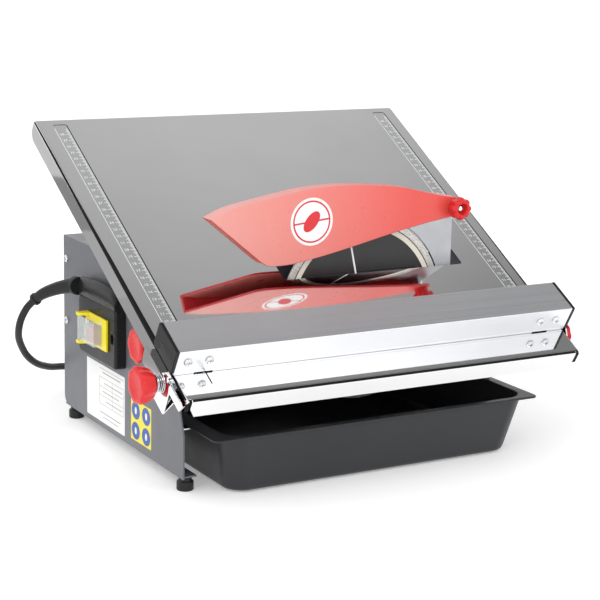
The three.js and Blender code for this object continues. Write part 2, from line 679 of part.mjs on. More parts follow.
/** The switch box is open towards the panel, with the cable duct moulded along its top. */
function switchBox() {
  const outline = new THREE.Shape(roundedRectangle(box.front, box.rear, box.bottom, box.top, 5, 3));
  const end = new THREE.SphereGeometry(9.5, 24, 10).rotateX(Math.PI / 2)
    .translate(ductX, ductFront, ductZ);
  const cavity = block(box.left + wall, boxIn + 1, box.front + wall, box.rear - wall,
    box.bottom + wall, box.top - wall);
  return carve([alongX(outline, box.left, boxIn), rod('y', 9.5, ductFront, box.rear, ductX, ductZ),
    end], [
    cavity,
    block(box.left - 1, box.left + wall + 1, opening.front, opening.rear, opening.bottom, opening.top),
    block(bodyLeft - gap, bodyLeft + 10, 20, 130, 130, 170),
  ]);
}
add(group, 'switch_box', switchBox(), materials.black);
const armOut = -196.4;      // the frame's two arms reach out at its rear end
const armHeight = 3;
const armOutline = new THREE.Shape([flat(box.left - gap, 83), flat(box.left - gap, frameY[1]),
  flat(armOut, frameY[1]), flat(armOut, 87), flat(frameOut, 83)]);
add(group, 'switch_frame', carve([
  block(frameOut, box.left - gap, ...frameY, ...frameZ),
  alongZ(armOutline, frameZ[0], frameZ[0] + armHeight),
  alongZ(armOutline, frameZ[1] - armHeight, frameZ[1]),
], [block(frameOut - 1, box.left, opening.front, opening.rear, opening.bottom, opening.top)]),
materials.yellow);
const buttonSplit = 83.2;
const buttonIn = -178;
add(group, 'stop_button', block(-190.5, buttonIn, opening.front + 9, buttonSplit - 0.3,
  opening.bottom + 0.6, opening.top - 3.8), materials.red);
add(group, 'start_button', block(-189.8, buttonIn, buttonSplit + 0.3, opening.rear - 0.5,
  opening.bottom + 0.6, opening.top - 3.8), materials.green);

// The clear flap stands over the buttons, and turns on a pin between the frame's two arms.
const flapAxis = { x: armOut + 1.5, y: 89.7 };
const flapZ = [frameZ[0] + armHeight + gap, frameZ[1] - armHeight - gap];
const flapFront = opening.front - 1;
add(group, 'switch_flap', carve([
  block(flapAxis.x + 0.3, flapAxis.x + 1.5, flapFront, flapAxis.y, ...flapZ),
  block(flapAxis.x + 0.5, frameOut - gap, flapFront, flapFront + 1.2, ...flapZ),
  rod('z', 1.5, ...flapZ, flapAxis.x, flapAxis.y, 12),
]), materials.clear);

// ---------------------------------------------------------------- water tray

/** The tray: a drafted bath with a flat rim, whose two sides hang on the rails. */
function waterTray() {
  const rim = 2;
  const skin = 2.2;
  const section = (left, right, front, z, radius) => roundedRectangle(tray.left + left,
    tray.right - right, tray.front + front, tray.rear - front, radius).map((p) => vec(p.x, p.y, z));
  return loft([
    section(27, 17, 20, tray.bottom, 20),
    section(14, 8, 5, tray.top - rim, 22),
    section(0, 0, 0, tray.top - rim, 6),
    section(0, 0, 0, tray.top, 6),
    section(14 + skin, 8 + skin, 5 + skin, tray.top, 20),
    section(27 + skin, 17 + skin, 20 + skin, tray.bottom + skin, 18),
  ]);
}
add(group, 'water_tray', waterTray(), materials.charcoal);

// ---------------------------------------------------------------- mains lead

const leadStart = vec(ductX - 1, box.rear + gap, ductZ - 0.5);
const reliefPath = new THREE.CatmullRomCurve3([
  leadStart, vec(-184.5, 128, 151.2), vec(-196, 142, 146.5), vec(-206.5, 154.5, 139.5),
  vec(-212.6, 165, 131),
]);

/** The strain relief: a tapered, bent sleeve from the box's duct. */
function strainRelief() {
  const steps = 8;
  const sides = 12;
  const frames = reliefPath.computeFrenetFrames(steps, false);
  const rings = Array.from({ length: steps + 1 }, (_, k) => {
    const t = k / steps;
    const centre = reliefPath.getPointAt(t);
    const radius = THREE.MathUtils.lerp(7.5, 5, t);
    return Array.from({ length: sides }, (__, i) => {
      const a = 2 * Math.PI * i / sides;
      return centre.clone()
        .addScaledVector(frames.normals[k], radius * Math.cos(a))
        .addScaledVector(frames.binormals[k], radius * Math.sin(a));
    });
  });
  rings[0].forEach((p) => p.setY(leadStart.y));
  return loft(rings);
}
add(group, 'strain_relief', strainRelief(), materials.rubber);

/** A round tube of the lead's diameter through hand-placed points. */
function tube(points, steps) {
  const sides = 10;
  const section = new THREE.Shape(Array.from({ length: sides }, (_, i) => {
    const a = 2 * Math.PI * i / sides;
    return flat(cordRadius * Math.cos(a), cordRadius * Math.sin(a));
  }));
  const extrudePath = new THREE.CatmullRomCurve3(points);
  return new THREE.ExtrudeGeometry(section, { steps, extrudePath, bevelEnabled: false });
}
const cordFloor = cordRadius + 0.05;
const leadEnd = vec(-213.1, 165.9, 130.1);
add(group, 'mains_cord', tube([
  leadEnd, vec(-217.5, 175, 120), vec(-219, 193, 94.5), vec(-209.4, 210, 71.5),
  vec(-193.6, 223, 52.5), vec(-169.2, 240, 39), vec(-145.4, 255, 33), vec(-120, 271, 25),
  vec(-95, 285, 14), vec(-72, 295, 6.5), vec(-50, 301, cordFloor), vec(-28, 302.5, cordFloor),
], 26), materials.rubber);

const coilHeight = 4 * cordRadius;
const coilHalf = 3 * cordRadius;
const coilSection = [[coilRadius - coilHalf, 0.1], [coilRadius + coilHalf, 0.1],
  [coilRadius + coilHalf, coilHeight], [coilRadius - coilHalf, coilHeight],
  [coilRadius - coilHalf, 0.1]];
add(group, 'cord_coil', new THREE.LatheGeometry(coilSection.map(([r, z]) => flat(r, z)), 40)
  .rotateX(Math.PI / 2).translate(coilX, coilY, 0), materials.rubber);

const plugX = 96;
const plugZ = 13;
add(group, 'cord_tail', tube([
  vec(28, 302.3, 8), vec(40, 301.6, 6), vec(54, 299.6, 6.2), vec(70, 297.4, 10),
  vec(84, 296.2, 12.6), vec(plugX - gap, 296, plugZ),
], 9), materials.rubber);

/** A plain plug with two round pins. */
function mainsPlug() {
  const section = (x, half, high) => roundedRectangle(-half, half, -high, high, high * 0.6, 3)
    .map((p) => vec(plugX + x, 296 + p.x, plugZ + p.y));
  const body = loft([section(0, 5, 5), section(12, 8, 7), section(20, 17, 12.5),
    section(44, 17, 12.5)]);
  const pins = [-9.5, 9.5].map((dy) => rod('x', 2.4, plugX + 43, plugX + 63, 296 + dy, plugZ, 12));
  return carve([body, ...pins]);
}
add(group, 'mains_plug', mainsPlug(), materials.rubber);

export default group;
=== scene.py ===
"""Looks of a portable wet saw for tiles: a tilting table of mirror steel on a slate grey housing.

Lengths inside the pieces are millimetres, and each mesh is scaled to metres when it is placed.
The frame is the machine's own: +X along the blade, +Y to the back, +Z up, origin on the floor.
"""
import json
import math

import bmesh
import bpy
from mathutils import Matrix, Vector


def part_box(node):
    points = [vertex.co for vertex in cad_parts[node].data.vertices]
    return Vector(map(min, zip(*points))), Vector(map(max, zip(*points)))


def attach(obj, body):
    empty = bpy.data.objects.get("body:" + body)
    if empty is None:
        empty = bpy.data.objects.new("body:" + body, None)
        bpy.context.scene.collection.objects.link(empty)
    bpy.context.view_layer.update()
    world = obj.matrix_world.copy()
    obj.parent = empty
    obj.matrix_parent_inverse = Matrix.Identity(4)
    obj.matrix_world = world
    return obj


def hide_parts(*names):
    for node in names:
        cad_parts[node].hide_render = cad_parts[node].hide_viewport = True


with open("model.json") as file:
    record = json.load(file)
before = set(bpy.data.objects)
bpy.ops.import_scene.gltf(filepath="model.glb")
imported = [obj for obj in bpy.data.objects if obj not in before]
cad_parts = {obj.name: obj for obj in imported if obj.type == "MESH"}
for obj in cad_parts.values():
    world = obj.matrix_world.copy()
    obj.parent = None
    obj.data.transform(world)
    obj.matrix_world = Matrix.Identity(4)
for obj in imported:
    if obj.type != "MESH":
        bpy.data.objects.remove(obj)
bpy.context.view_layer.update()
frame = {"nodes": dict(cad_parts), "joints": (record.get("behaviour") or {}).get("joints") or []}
nodes = frame["nodes"]
joints = {joint["name"]: joint for joint in frame["joints"]}

MM = 0.001
HALF_TURN = math.pi
# The pieces are drawn from the middle of the table, which lies this far right of the origin.
MIDDLE = joints["table_tilt"]["pos_m"][0]
AT_MIDDLE = Matrix.Translation((MIDDLE, 0, 0))


# ---------------------------------------------------------------- camera, light and floor

# Where the table mirrors its surroundings to the camera: up, and to the back right.
CEILING_PANEL = (0.487, 0.253, 0.835)
PANEL_GLOW = (0.4515, 0.4675, 0.760)    # the panel's brightest place


def make_camera():
    """The camera stands to the front left of the machine, a little above it."""
    yaw, pitch, roll = (math.radians(a) for a in (29.88, 12.39, 1.33))
    data = bpy.data.cameras.new("camera")
    data.sensor_width = 36
    data.lens = 101.67
    camera = bpy.data.objects.new("camera", data)
    turn = (Matrix.Rotation(-yaw, 4, "Z") @ Matrix.Rotation(HALF_TURN / 2 - pitch, 4, "X")
            @ Matrix.Rotation(roll, 4, "Z"))
    camera.matrix_world = AT_MIDDLE @ Matrix.Translation((-0.8142, -1.4234, 0.5060)) @ turn
    bpy.context.scene.collection.objects.link(camera)
    bpy.context.scene.camera = camera


def make_area_light(name, place, target, size, power):
    data = bpy.data.lights.new(name, "AREA")
    data.shape = "DISK"
    data.size = size
    data.energy = power
    light = bpy.data.objects.new(name, data)
    light.location = place
    light.rotation_euler = (Vector(target) - Vector(place)).to_track_quat("-Z", "Y").to_euler()
    bpy.context.scene.collection.objects.link(light)


def make_world():
    """A white studio with a grey ceiling panel, which the steel table mirrors."""
    world = bpy.data.worlds.new("studio")
    bpy.context.scene.world = world
    world.use_nodes = True
    tree = world.node_tree
    place = tree.nodes.new("ShaderNodeTexCoord")

    def graded(value, stops):
        ramp = tree.nodes.new("ShaderNodeValToRGB")
        tree.links.new(value, ramp.inputs[0])
        elements = ramp.color_ramp.elements
        while len(elements) < len(stops):
            elements.new(0.5)
        for element, (at, grey) in zip(elements, stops):
            element.position = at
            element.color = (grey, grey, grey, 1)
        return ramp.outputs[0]

    def nearness(direction):
        """The cosine of the angle to a direction."""
        towards = tree.nodes.new("ShaderNodeVectorMath")
        towards.operation = "DOT_PRODUCT"
        tree.links.new(place.outputs["Generated"], towards.inputs[0])
        towards.inputs[1].default_value = direction
        return towards.outputs["Value"]

    panel = graded(nearness(PANEL_GLOW), [(0.90, 0.22), (0.955, 0.22), (0.9904, 0.52), (1.0, 0.60)])
    share = graded(nearness(CEILING_PANEL), [(0.0, 0.0), (0.84, 0.0), (0.93, 1.0), (1.0, 1.0)])
    mix = tree.nodes.new("ShaderNodeMix")
    mix.data_type = "RGBA"
    mix.inputs[6].default_value = (1.04, 1.04, 1.04, 1)
    tree.links.new(share, mix.inputs[0])
    tree.links.new(panel, mix.inputs[7])
    tree.links.new(mix.outputs[2], tree.nodes["Background"].inputs["Color"])


def make_card(name, size, place, grey, glow=0.0):
    """A flat staged sheet, as a studio's floor and its flags are."""
    bpy.ops.mesh.primitive_plane_add(size=1, location=place)
    card = bpy.context.object
    card.name = name
    card.scale = (*size, 1)
    sheet = finish(name, (grey, grey, grey), roughness=0.9, Emission_Color=(1, 1, 1, 1),
                   Emission_Strength=glow)
    card.data.materials.append(sheet.material)


def make_stage():
    make_world()
    make_area_light("key", (-1.9, -1.5, 2.1), (0, 0, 0.15), 1.6, 20)
    make_area_light("fill", (1.2, -2.6, 1.6), (0, 0, 0.1), 1.4, 8)
    make_card("floor", (60, 60), (0, 0, 0), 0.95, 0.26)
    # Grey sheets behind the machine's left, which the table's left flange mirrors.
    for name, size, x, y, grey in (("near", (0.5, 0.45), -0.66, 0.45, 0.32),
                                   ("middle", (0.6, 0.5), -0.70, 0.93, 0.38),
                                   ("far", (0.9, 0.6), -0.85, 1.48, 0.22),
                                   ("last", (1.2, 1.0), -1.10, 2.28, 0.60)):
        make_card(f"flag_{name}", size, (x, y, 0.003), grey)
    bpy.context.scene.view_settings.view_transform = "Standard"


# ---------------------------------------------------------------- materials

class finish:
    """A Principled material. Its places are Object coordinates, which are metres in the frame."""

    def __init__(self, name, color, metallic=0.0, roughness=0.5, **numbers):
        self.material = bpy.data.materials.new(name)
        self.material.use_nodes = True
        self.tree = self.material.node_tree
        self.shader = self.tree.nodes["Principled BSDF"]
        self.color = (*color, 1)
        self.roughness = roughness
        self.shader.inputs["Base Color"].default_value = self.color
        self.shader.inputs["Metallic"].default_value = metallic
        self.shader.inputs["Roughness"].default_value = roughness
        for socket, number in numbers.items():
            self.shader.inputs[socket.replace("_", " ")].default_value = number
        self.place = self.tree.nodes.new("ShaderNodeTexCoord")
        self.height = None

    def noise(self, scale, stretch=(1, 1, 1), detail=3.0):
        """A noise of that many cells a metre, squeezed along each axis by stretch."""
        mapping = self.tree.nodes.new("ShaderNodeMapping")
        mapping.inputs["Scale"].default_value = stretch
        noise = self.tree.nodes.new("ShaderNodeTexNoise")
        noise.inputs["Scale"].default_value = scale
        noise.inputs["Detail"].default_value = detail
        self.tree.links.new(self.place.outputs["Object"], mapping.inputs["Vector"])
        self.tree.links.new(mapping.outputs[0], noise.inputs["Vector"])
        return noise.outputs["Fac"]

    def ranged(self, value, low, high):
        node = self.tree.nodes.new("ShaderNodeMapRange")
        node.inputs["From Min"].default_value = 0.3
        node.inputs["From Max"].default_value = 0.7
        node.inputs["To Min"].default_value = low
        node.inputs["To Max"].default_value = high
        self.tree.links.new(value, node.inputs["Value"])
        return node.outputs[0]

    def shade(self, value, low, high):
        """Varies the colour between low and high times itself."""
        node = self.tree.nodes.new("ShaderNodeMix")
        node.data_type = "RGBA"
        # The sixth and seventh inputs are the colour pair of a colour mix.
        node.inputs[6].default_value = tuple(min(1, c * low) for c in self.color[:3]) + (1,)
        node.inputs[7].default_value = tuple(min(1, c * high) for c in self.color[:3]) + (1,)
        self.tree.links.new(self.ranged(value, 0, 1), node.inputs[0])
        self.tree.links.new(node.outputs[2], self.shader.inputs["Base Color"])

    def paler_left(self, left, right, pale):
        """Paints a highlight into the colour: it goes over to a paler colour on the left, between two
        places in millimetres.
        """
        split = self.tree.nodes.new("ShaderNodeSeparateXYZ")
        self.tree.links.new(self.place.outputs["Object"], split.inputs[0])
        share = self.tree.nodes.new("ShaderNodeMapRange")
        share.inputs["From Min"].default_value = MIDDLE + left * MM
        share.inputs["From Max"].default_value = MIDDLE + right * MM
        self.tree.links.new(split.outputs["X"], share.inputs["Value"])
        mix = self.tree.nodes.new("ShaderNodeMix")
        mix.data_type = "RGBA"
        mix.inputs[6].default_value = (*pale, 1)
        mix.inputs[7].default_value = self.color
        self.tree.links.new(share.outputs[0], mix.inputs[0])
        self.tree.links.new(mix.outputs[2], self.shader.inputs["Base Color"])

    def rough(self, value, spread):
        """Varies the roughness by spread each way."""
        varied = self.ranged(value, max(0.02, self.roughness - spread), self.roughness + spread)
        self.tree.links.new(varied, self.shader.inputs["Roughness"])

    def bump(self, value, height):
        """Raises the surface by up to height millimetres."""
        node = self.tree.nodes.new("ShaderNodeBump")
        node.inputs["Strength"].default_value = 1.0
        node.inputs["Distance"].default_value = height * MM
        self.tree.links.new(value, node.inputs["Height"])
        if self.height is not None:
            self.tree.links.new(self.height, node.inputs["Normal"])
        self.height = node.outputs[0]
        self.tree.links.new(self.height, self.shader.inputs["Normal"])


def metal(name, color, roughness, spread, streak, streak_height, mottle):
    """A metal with soft mottling, and fine streaks where it is brushed or drawn."""
    made = finish(name, color, metallic=1.0, roughness=roughness)
    made.shade(made.noise(14, detail=4), 1 - mottle, 1 + mottle)
    grain = made.noise(60, streak, detail=4)
    made.rough(grain, spread)
    if streak_height:
        made.bump(grain, streak_height)
    return made.material


def plastic(name, color, roughness, grain_height, grain, specular=0.5, spread=0.04):
    """A moulded plastic with a faint flow in its colour and a fine skin."""
    made = finish(name, color, roughness=roughness, Specular_IOR_Level=specular)
    made.shade(made.noise(9, detail=2), 0.94, 1.06)
    made.rough(made.noise(55, detail=3), spread)
    made.bump(made.noise(grain, detail=2), grain_height)
    return made.material


def make_materials():
    """All materials by name. Their numbers are those of metal and plastic, above."""
    paint = finish("grey_paint", (0.135, 0.139, 0.156), roughness=0.36)
    paint.shade(paint.noise(7, detail=3), 0.93, 1.07)
    paint.rough(paint.noise(40, detail=3), 0.05)
    paint.bump(paint.noise(520, detail=2), 0.02)
    clear = finish("clear_plastic", (0.90, 0.95, 0.94), roughness=0.06, IOR=1.46, Alpha=0.28)
    clear.rough(clear.noise(30), 0.03)
    grit = finish("diamond_rim", (0.62, 0.60, 0.57), metallic=1.0, roughness=0.42)
    grit.shade(grit.noise(900, detail=5), 0.6, 1.3)
    grit.rough(grit.noise(500, detail=4), 0.15)
    grit.bump(grit.noise(1100, detail=4), 0.12)
    guard = finish("guard_plastic", (0.74, 0.085, 0.070), roughness=0.30)
    # The guard's red is lighter than the plastic's own deep red and turns paler to the left. This is a
    # highlight painted into its colour, where the glossy face shines.
    guard.paler_left(-130, 90, (0.76, 0.33, 0.29))
    guard.rough(guard.noise(55, detail=3), 0.04)
    even = (1, 1, 1)
    metals = [
        ("stainless", (0.87, 0.87, 0.875), 0.05, 0.015, (0.05, 14, 14), 0.0001, 0.02),
        ("aluminium", (0.84, 0.85, 0.88), 0.33, 0.06, (0.03, 22, 22), 0.001, 0.02),
        ("zinc", (0.74, 0.75, 0.77), 0.16, 0.06, even, 0.0, 0.08),
        ("bright_steel", (0.86, 0.86, 0.87), 0.07, 0.02, even, 0.0, 0.03),
        ("knife_steel", (0.50, 0.51, 0.53), 0.34, 0.08, even, 0.0, 0.16),
        ("steel", (0.46, 0.47, 0.49), 0.34, 0.08, (12, 0.3, 12), 0.004, 0.05),
        ("copper", (0.45, 0.22, 0.10), 0.42, 0.10, (10, 0.4, 10), 0.02, 0.05),
        ("etched", (0.84, 0.845, 0.85), 0.10, 0.03, even, 0.0, 0.04),
    ]
    plastics = [
        ("guard_edge", (0.56, 0.026, 0.034), 0.34, 0.002, 300),
        ("red_plastic", (0.66, 0.022, 0.024), 0.26, 0.004, 500, 0.3),
        ("black_plastic", (0.012, 0.012, 0.013), 0.28, 0.010, 1100, 0.24),
        ("tray_plastic", (0.030, 0.031, 0.034), 0.36, 0.012, 900, 0.3),
        ("rubber", (0.011, 0.011, 0.012), 0.42, 0.010, 700, 0.35, 0.08),
        ("yellow_plastic", (0.88, 0.74, 0.012), 0.30, 0.004, 600),
        ("green_plastic", (0.06, 0.30, 0.17), 0.28, 0.004, 600),
        ("stop_plastic", (0.34, 0.055, 0.035), 0.30, 0.004, 600),
        ("blade_black", (0.014, 0.014, 0.015), 0.22, 0.003, 500),
        ("blade_cream", (0.74, 0.70, 0.60), 0.40, 0.003, 500),
        ("print_white", (0.86, 0.86, 0.85), 0.38, 0.002, 400),
        ("print_grey", (0.30, 0.30, 0.31), 0.50, 0.002, 400),
        # Black for painted shade and dark reflection: the table's bend lines and corner gaps, the
        # fence's notch shadows and the rulers' edge shadows.
        ("print_black", (0.006, 0.006, 0.007), 0.50, 0.002, 400, 0.12),
        ("print_yellow", (0.86, 0.74, 0.05), 0.40, 0.002, 400),
        ("print_blue", (0.032, 0.10, 0.40), 0.40, 0.002, 400),
        ("print_red", (0.66, 0.020, 0.028), 0.35, 0.002, 400),
        ("etched_mark", (0.80, 0.81, 0.82), 0.45, 0.002, 400),
        ("tie_white", (0.70, 0.70, 0.68), 0.45, 0.004, 500),
    ]
    return {
        "grey_paint": paint.material, "clear_plastic": clear.material, "diamond_rim": grit.material,
        "guard_plastic": guard.material, **{row[0]: metal(*row) for row in metals},
        **{row[0]: plastic(*row) for row in plastics},
    }


# ---------------------------------------------------------------- shapes

AXES = {"x": (2, 0, 1), "y": (0, 2, 1), "z": (0, 1, 2)}


def lifted(point, axis, at):
    """A point of a flat outline, at a place along the axis that the outline is drawn across."""
    triple = (*point, at)
    return tuple(triple[i] for i in AXES[axis])


def circle(radius, centre=(0, 0), steps=32, start=0.0, sweep=2 * HALF_TURN, closed=True):
    count = steps if closed else steps + 1
    return [(centre[0] + radius * math.cos(start + sweep * i / steps),
             centre[1] + radius * math.sin(start + sweep * i / steps)) for i in range(count)]


def arc(centre, radius, start, end, steps=6):
    """Points of an arc, with its angles in degrees."""
    begin = math.radians(start)
    return circle(radius, centre, steps, begin, math.radians(end) - begin, closed=False)


def rounded_rectangle(x0, x1, y0, y1, radius, steps=6):
    corners = (((x1 - radius, y0 + radius), -90), ((x1 - radius, y1 - radius), 0),
               ((x0 + radius, y1 - radius), 90), ((x0 + radius, y0 + radius), 180))
    return [p for centre, start in corners for p in arc(centre, radius, start, start + 90, steps)]


def smooth_line(points, per_span=8):
    """Points along a Catmull-Rom curve through the given ones, in any number of dimensions."""
    ends = [points[0], *points, points[-1]]
    made = []
    for a, b, c, d in zip(ends, ends[1:], ends[2:], ends[3:]):
        for i in range(per_span):
            t = i / per_span
            weights = (-0.5 * t + t * t - 0.5 * t ** 3, 1 - 2.5 * t * t + 1.5 * t ** 3,
                       0.5 * t + 2 * t * t - 1.5 * t ** 3, -0.5 * t * t + 0.5 * t ** 3)
            made.append(tuple(sum(w * p[k] for w, p in zip(weights, (a, b, c, d)))
                              for k in range(len(a))))
    return [*made, tuple(points[-1])]


def loft(rings):
    """A closed skin over rings of one length, or of one point where it comes to a tip."""
    points = [p for ring in rings for p in ring]
    faces, first = [], 0
    for ring, following in zip(rings, rings[1:]):
        n, m = len(ring), len(following)
        count, second = max(n, m), first + n
        for i in range(count):
            j = (i + 1) % count
            corners = [first + i % n, first + j % n, second + j % m, second + i % m]
            faces.append(list(dict.fromkeys(corners)))
        first = second
    if len(rings[0]) > 2:
        faces.append(list(range(len(rings[0])))[::-1])
    if len(rings[-1]) > 2:
        faces.append(list(range(first, first + len(rings[-1]))))
    return points, faces


def prism(outline, axis, low, high):
    """A flat outline, pushed along an axis from low to high."""
    return loft([[lifted(p, axis, at) for p in outline] for at in (low, high)])


def rectangle(x0, x1, y0, y1):
    return [(x0, y0), (x1, y0), (x1, y1), (x0, y1)]


def rotated(outline, degrees, centre):
    """An outline about its own zero, turned and moved to a centre."""
    c, s = math.cos(math.radians(degrees)), math.sin(math.radians(degrees))
    return [(centre[0] + u * c - v * s, centre[1] + u * s + v * c) for u, v in outline]


def block(x, y, z):
    """A box between three pairs of numbers."""
    return prism(rectangle(*x, *y), "z", *z)


def rod(radius, axis, low, high, centre, steps=32):
    return prism(circle(radius, centre, steps), axis, low, high)


def ring_loft(rings):
    """A closed skin over rings that lead back to the first, as round a tyre."""
    points, faces = loft([*rings, rings[0]])
    total = len(rings[0]) * len(rings)
    return points[:total], [[i % total for i in face] for face in faces[:total]]


def turned(profile, axis, centre, steps=48, loop=False):
    """A profile of (place along the axis, radius), turned about it. A loop closes on itself."""
    rings = []
    for at, radius in profile:
        outline = circle(radius, centre, steps) if radius > 0 else [centre]
        rings.append([lifted(p, axis, at) for p in outline])
    return ring_loft(rings) if loop else loft(rings)


def raw_mesh(solids):
    """One mesh of closed solids, with their faces turned outwards."""
    work = bmesh.new()
    for points, faces in solids:
        corners = [work.verts.new(p) for p in points]
        for face in faces:
            work.faces.new([corners[i] for i in face])
    bmesh.ops.recalc_face_normals(work, faces=work.faces)
    mesh = bpy.data.meshes.new("work")
    work.to_mesh(mesh)
    work.free()
    return mesh


def add_bevel(target, width, segments, angle=30):
    bevel = target.modifiers.new("bevel", "BEVEL")
    bevel.width = width
    bevel.segments = segments
    bevel.limit_method = "ANGLE"
    bevel.angle_limit = math.radians(angle)


def carved(solids, cut=(), first_bevel=None, last_bevel=None):
    """Solids with others cut away. A bevel is (width, segments, least angle)."""
    collection = bpy.context.scene.collection
    target = bpy.data.objects.new("work", raw_mesh(solids))
    collection.objects.link(target)
    if first_bevel:
        add_bevel(target, *first_bevel)
    tools = []
    for part in cut:
        tool = bpy.data.objects.new("tool", raw_mesh([part]))
        collection.objects.link(tool)
        tool.hide_render = True
        tools.append(tool)
        step = target.modifiers.new("cut", "BOOLEAN")
        step.operation = "DIFFERENCE"
        step.solver = "EXACT"
        step.object = tool
    if last_bevel:
        add_bevel(target, *last_bevel)
    graph = bpy.context.evaluated_depsgraph_get()
    graph.update()
    mesh = bpy.data.meshes.new_from_object(target.evaluated_get(graph))
    for spare in (target, *tools):
        bpy.data.objects.remove(spare)
    return mesh


def piece(name, mesh, material, body, replaces=(), place=None, sharp=38):
    """Places a mesh made in millimetres, and lets it ride on a body."""
    mesh.name = name
    mesh.transform((place or AT_MIDDLE) @ Matrix.Scale(MM, 4))
    for each in material if isinstance(material, list) else [material]:
        mesh.materials.append(looks[each])
    mesh.shade_smooth()
    mesh.set_sharp_from_angle(angle=math.radians(sharp))
    made = bpy.data.objects.new(name, mesh)
    bpy.context.scene.collection.objects.link(made)
    normals = made.modifiers.new("normals", "WEIGHTED_NORMAL")
    normals.keep_sharp = True
    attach(made, body)
    if replaces:
        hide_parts(*replaces)
    return made


# ---------------------------------------------------------------- places that pieces share

# The table's own frame: x, distance up its slope from the front edge, height over its top.
HINGE_SETBACK = 163.4
HINGE_DROP = 12
slope = Vector(joints["fence_slide"]["axis"]).normalized()
upright = Vector((1, 0, 0)).cross(slope)
tilt_axis = Vector(joints["table_tilt"]["pos_m"])
deck_origin = tilt_axis - slope * HINGE_SETBACK * MM + upright * HINGE_DROP * MM
deck_turn = Matrix((Vector((1, 0, 0)), slope, upright)).transposed()
DECK = Matrix.Translation(deck_origin) @ deck_turn.to_4x4()

HALF_DECK = 210
DECK_DEPTH = 404
SHEET = 1.5
FLANGE = 19
BEND = 2.5
# How far inside and outside the bend the strips of painted dark reflection lie.
REFLECTION_IN, REFLECTION_OUT = 0.01, 0.12
SLOT = {"x": (-50, 153), "s": (139.5, 163.5)}


def from_middle(corner):
    """A place of the frame in millimetres, from the middle of the table."""
    return (Vector(corner) - Vector((MIDDLE, 0, 0))) / MM


BLADE_X, BLADE_Y, BLADE_Z = from_middle(joints["blade_spin"]["pos_m"])
guard_axis = from_middle(joints["guard_pivot"]["pos_m"])
GUARD_PIVOT = (guard_axis[0], guard_axis[2])
GUARD_HALF = 9.5
GUARD_WALL = 2.4
GUARD_NEAR = BLADE_Y - GUARD_HALF
GUARD_FAR = BLADE_Y + GUARD_HALF


def box_mm(node):
    """The low and high corner of a CAD node, in millimetres from the middle of the table."""
    return [from_middle(corner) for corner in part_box(node)]


def middle_yz(low, high):
    """The middle between two corners, as (y, z)."""
    return (low.y + high.y) / 2, (low.z + high.z) / 2


PANEL_X = box_mm("left_side_panel")[0].x


# ---------------------------------------------------------------- mains lead

CORD_RADIUS = 0.00375
COIL_X, COIL_Y = 0.0, 0.2525
COIL_RADIUS = 0.0425
COIL_TURNS = 5
COIL_PITCH = 0.0076
CORD_FLOOR = CORD_RADIUS + 0.00005
RELIEF = [(-0.183, 0.1193, 0.152), (-0.1845, 0.128, 0.1512), (-0.196, 0.142, 0.1465),
          (-0.2065, 0.1545, 0.1395), (-0.2126, 0.165, 0.131)]
ROUTE = [(-0.2126, 0.165, 0.131), (-0.2175, 0.175, 0.120), (-0.219, 0.193, 0.0945),
         (-0.2094, 0.210, 0.0715), (-0.1936, 0.223, 0.0525), (-0.1692, 0.240, 0.039),
         (-0.1454, 0.255, 0.033), (-0.120, 0.271, 0.025), (-0.095, 0.285, 0.014),
         (-0.072, 0.295, 0.0065), (-0.050, 0.301, CORD_FLOOR), (-0.024, 0.3025, CORD_FLOOR)]
TAIL = [(0.014, 0.3025, 0.0104), (0.028, 0.3023, 0.008), (0.040, 0.3016, 0.006),
        (0.054, 0.2996, 0.0062), (0.070, 0.2974, 0.010), (0.084, 0.2962, 0.0126),
        (0.0957, 0.296, 0.013), (0.104, 0.296, 0.013)]


def coil_points(per_turn=16):
    """The turns wind inwards along the floor, rise, and wind outwards on top of themselves."""
    inner, middle, outer = (COIL_RADIUS + k * COIL_PITCH for k in (-1, 0, 1))
    low, high = CORD_FLOOR, CORD_FLOOR + COIL_PITCH
    # Turns so far, radius and height, where the lead has settled or starts to move over.
    moves = [(0, outer, low), (0.8, outer, low), (1.05, middle, low), (1.6, middle, low),
             (1.85, inner, low), (2.4, inner, low), (2.65, inner, high), (3.2, inner, high),
             (3.45, middle, high), (4.0, middle, high), (4.25, outer, high), (COIL_TURNS, outer, high)]
    points = []
    for step in range(COIL_TURNS * per_turn + 1):
        turns = step / per_turn
        before = max(m for m in moves if m[0] <= turns)
        after = min(m for m in moves if m[0] >= turns)
        t = (turns - before[0]) / ((after[0] - before[0]) or 1)
        ease = t * t * (3 - 2 * t)
        radius = before[1] + (after[1] - before[1]) * (t * t if after[1] < before[1] else t * (2 - t))
        height = before[2] + (after[2] - before[2]) * ease
        angle = 2 * HALF_TURN * turns
        points.append((COIL_X + radius * math.sin(angle), COIL_Y + radius * math.cos(angle), height))
    return points


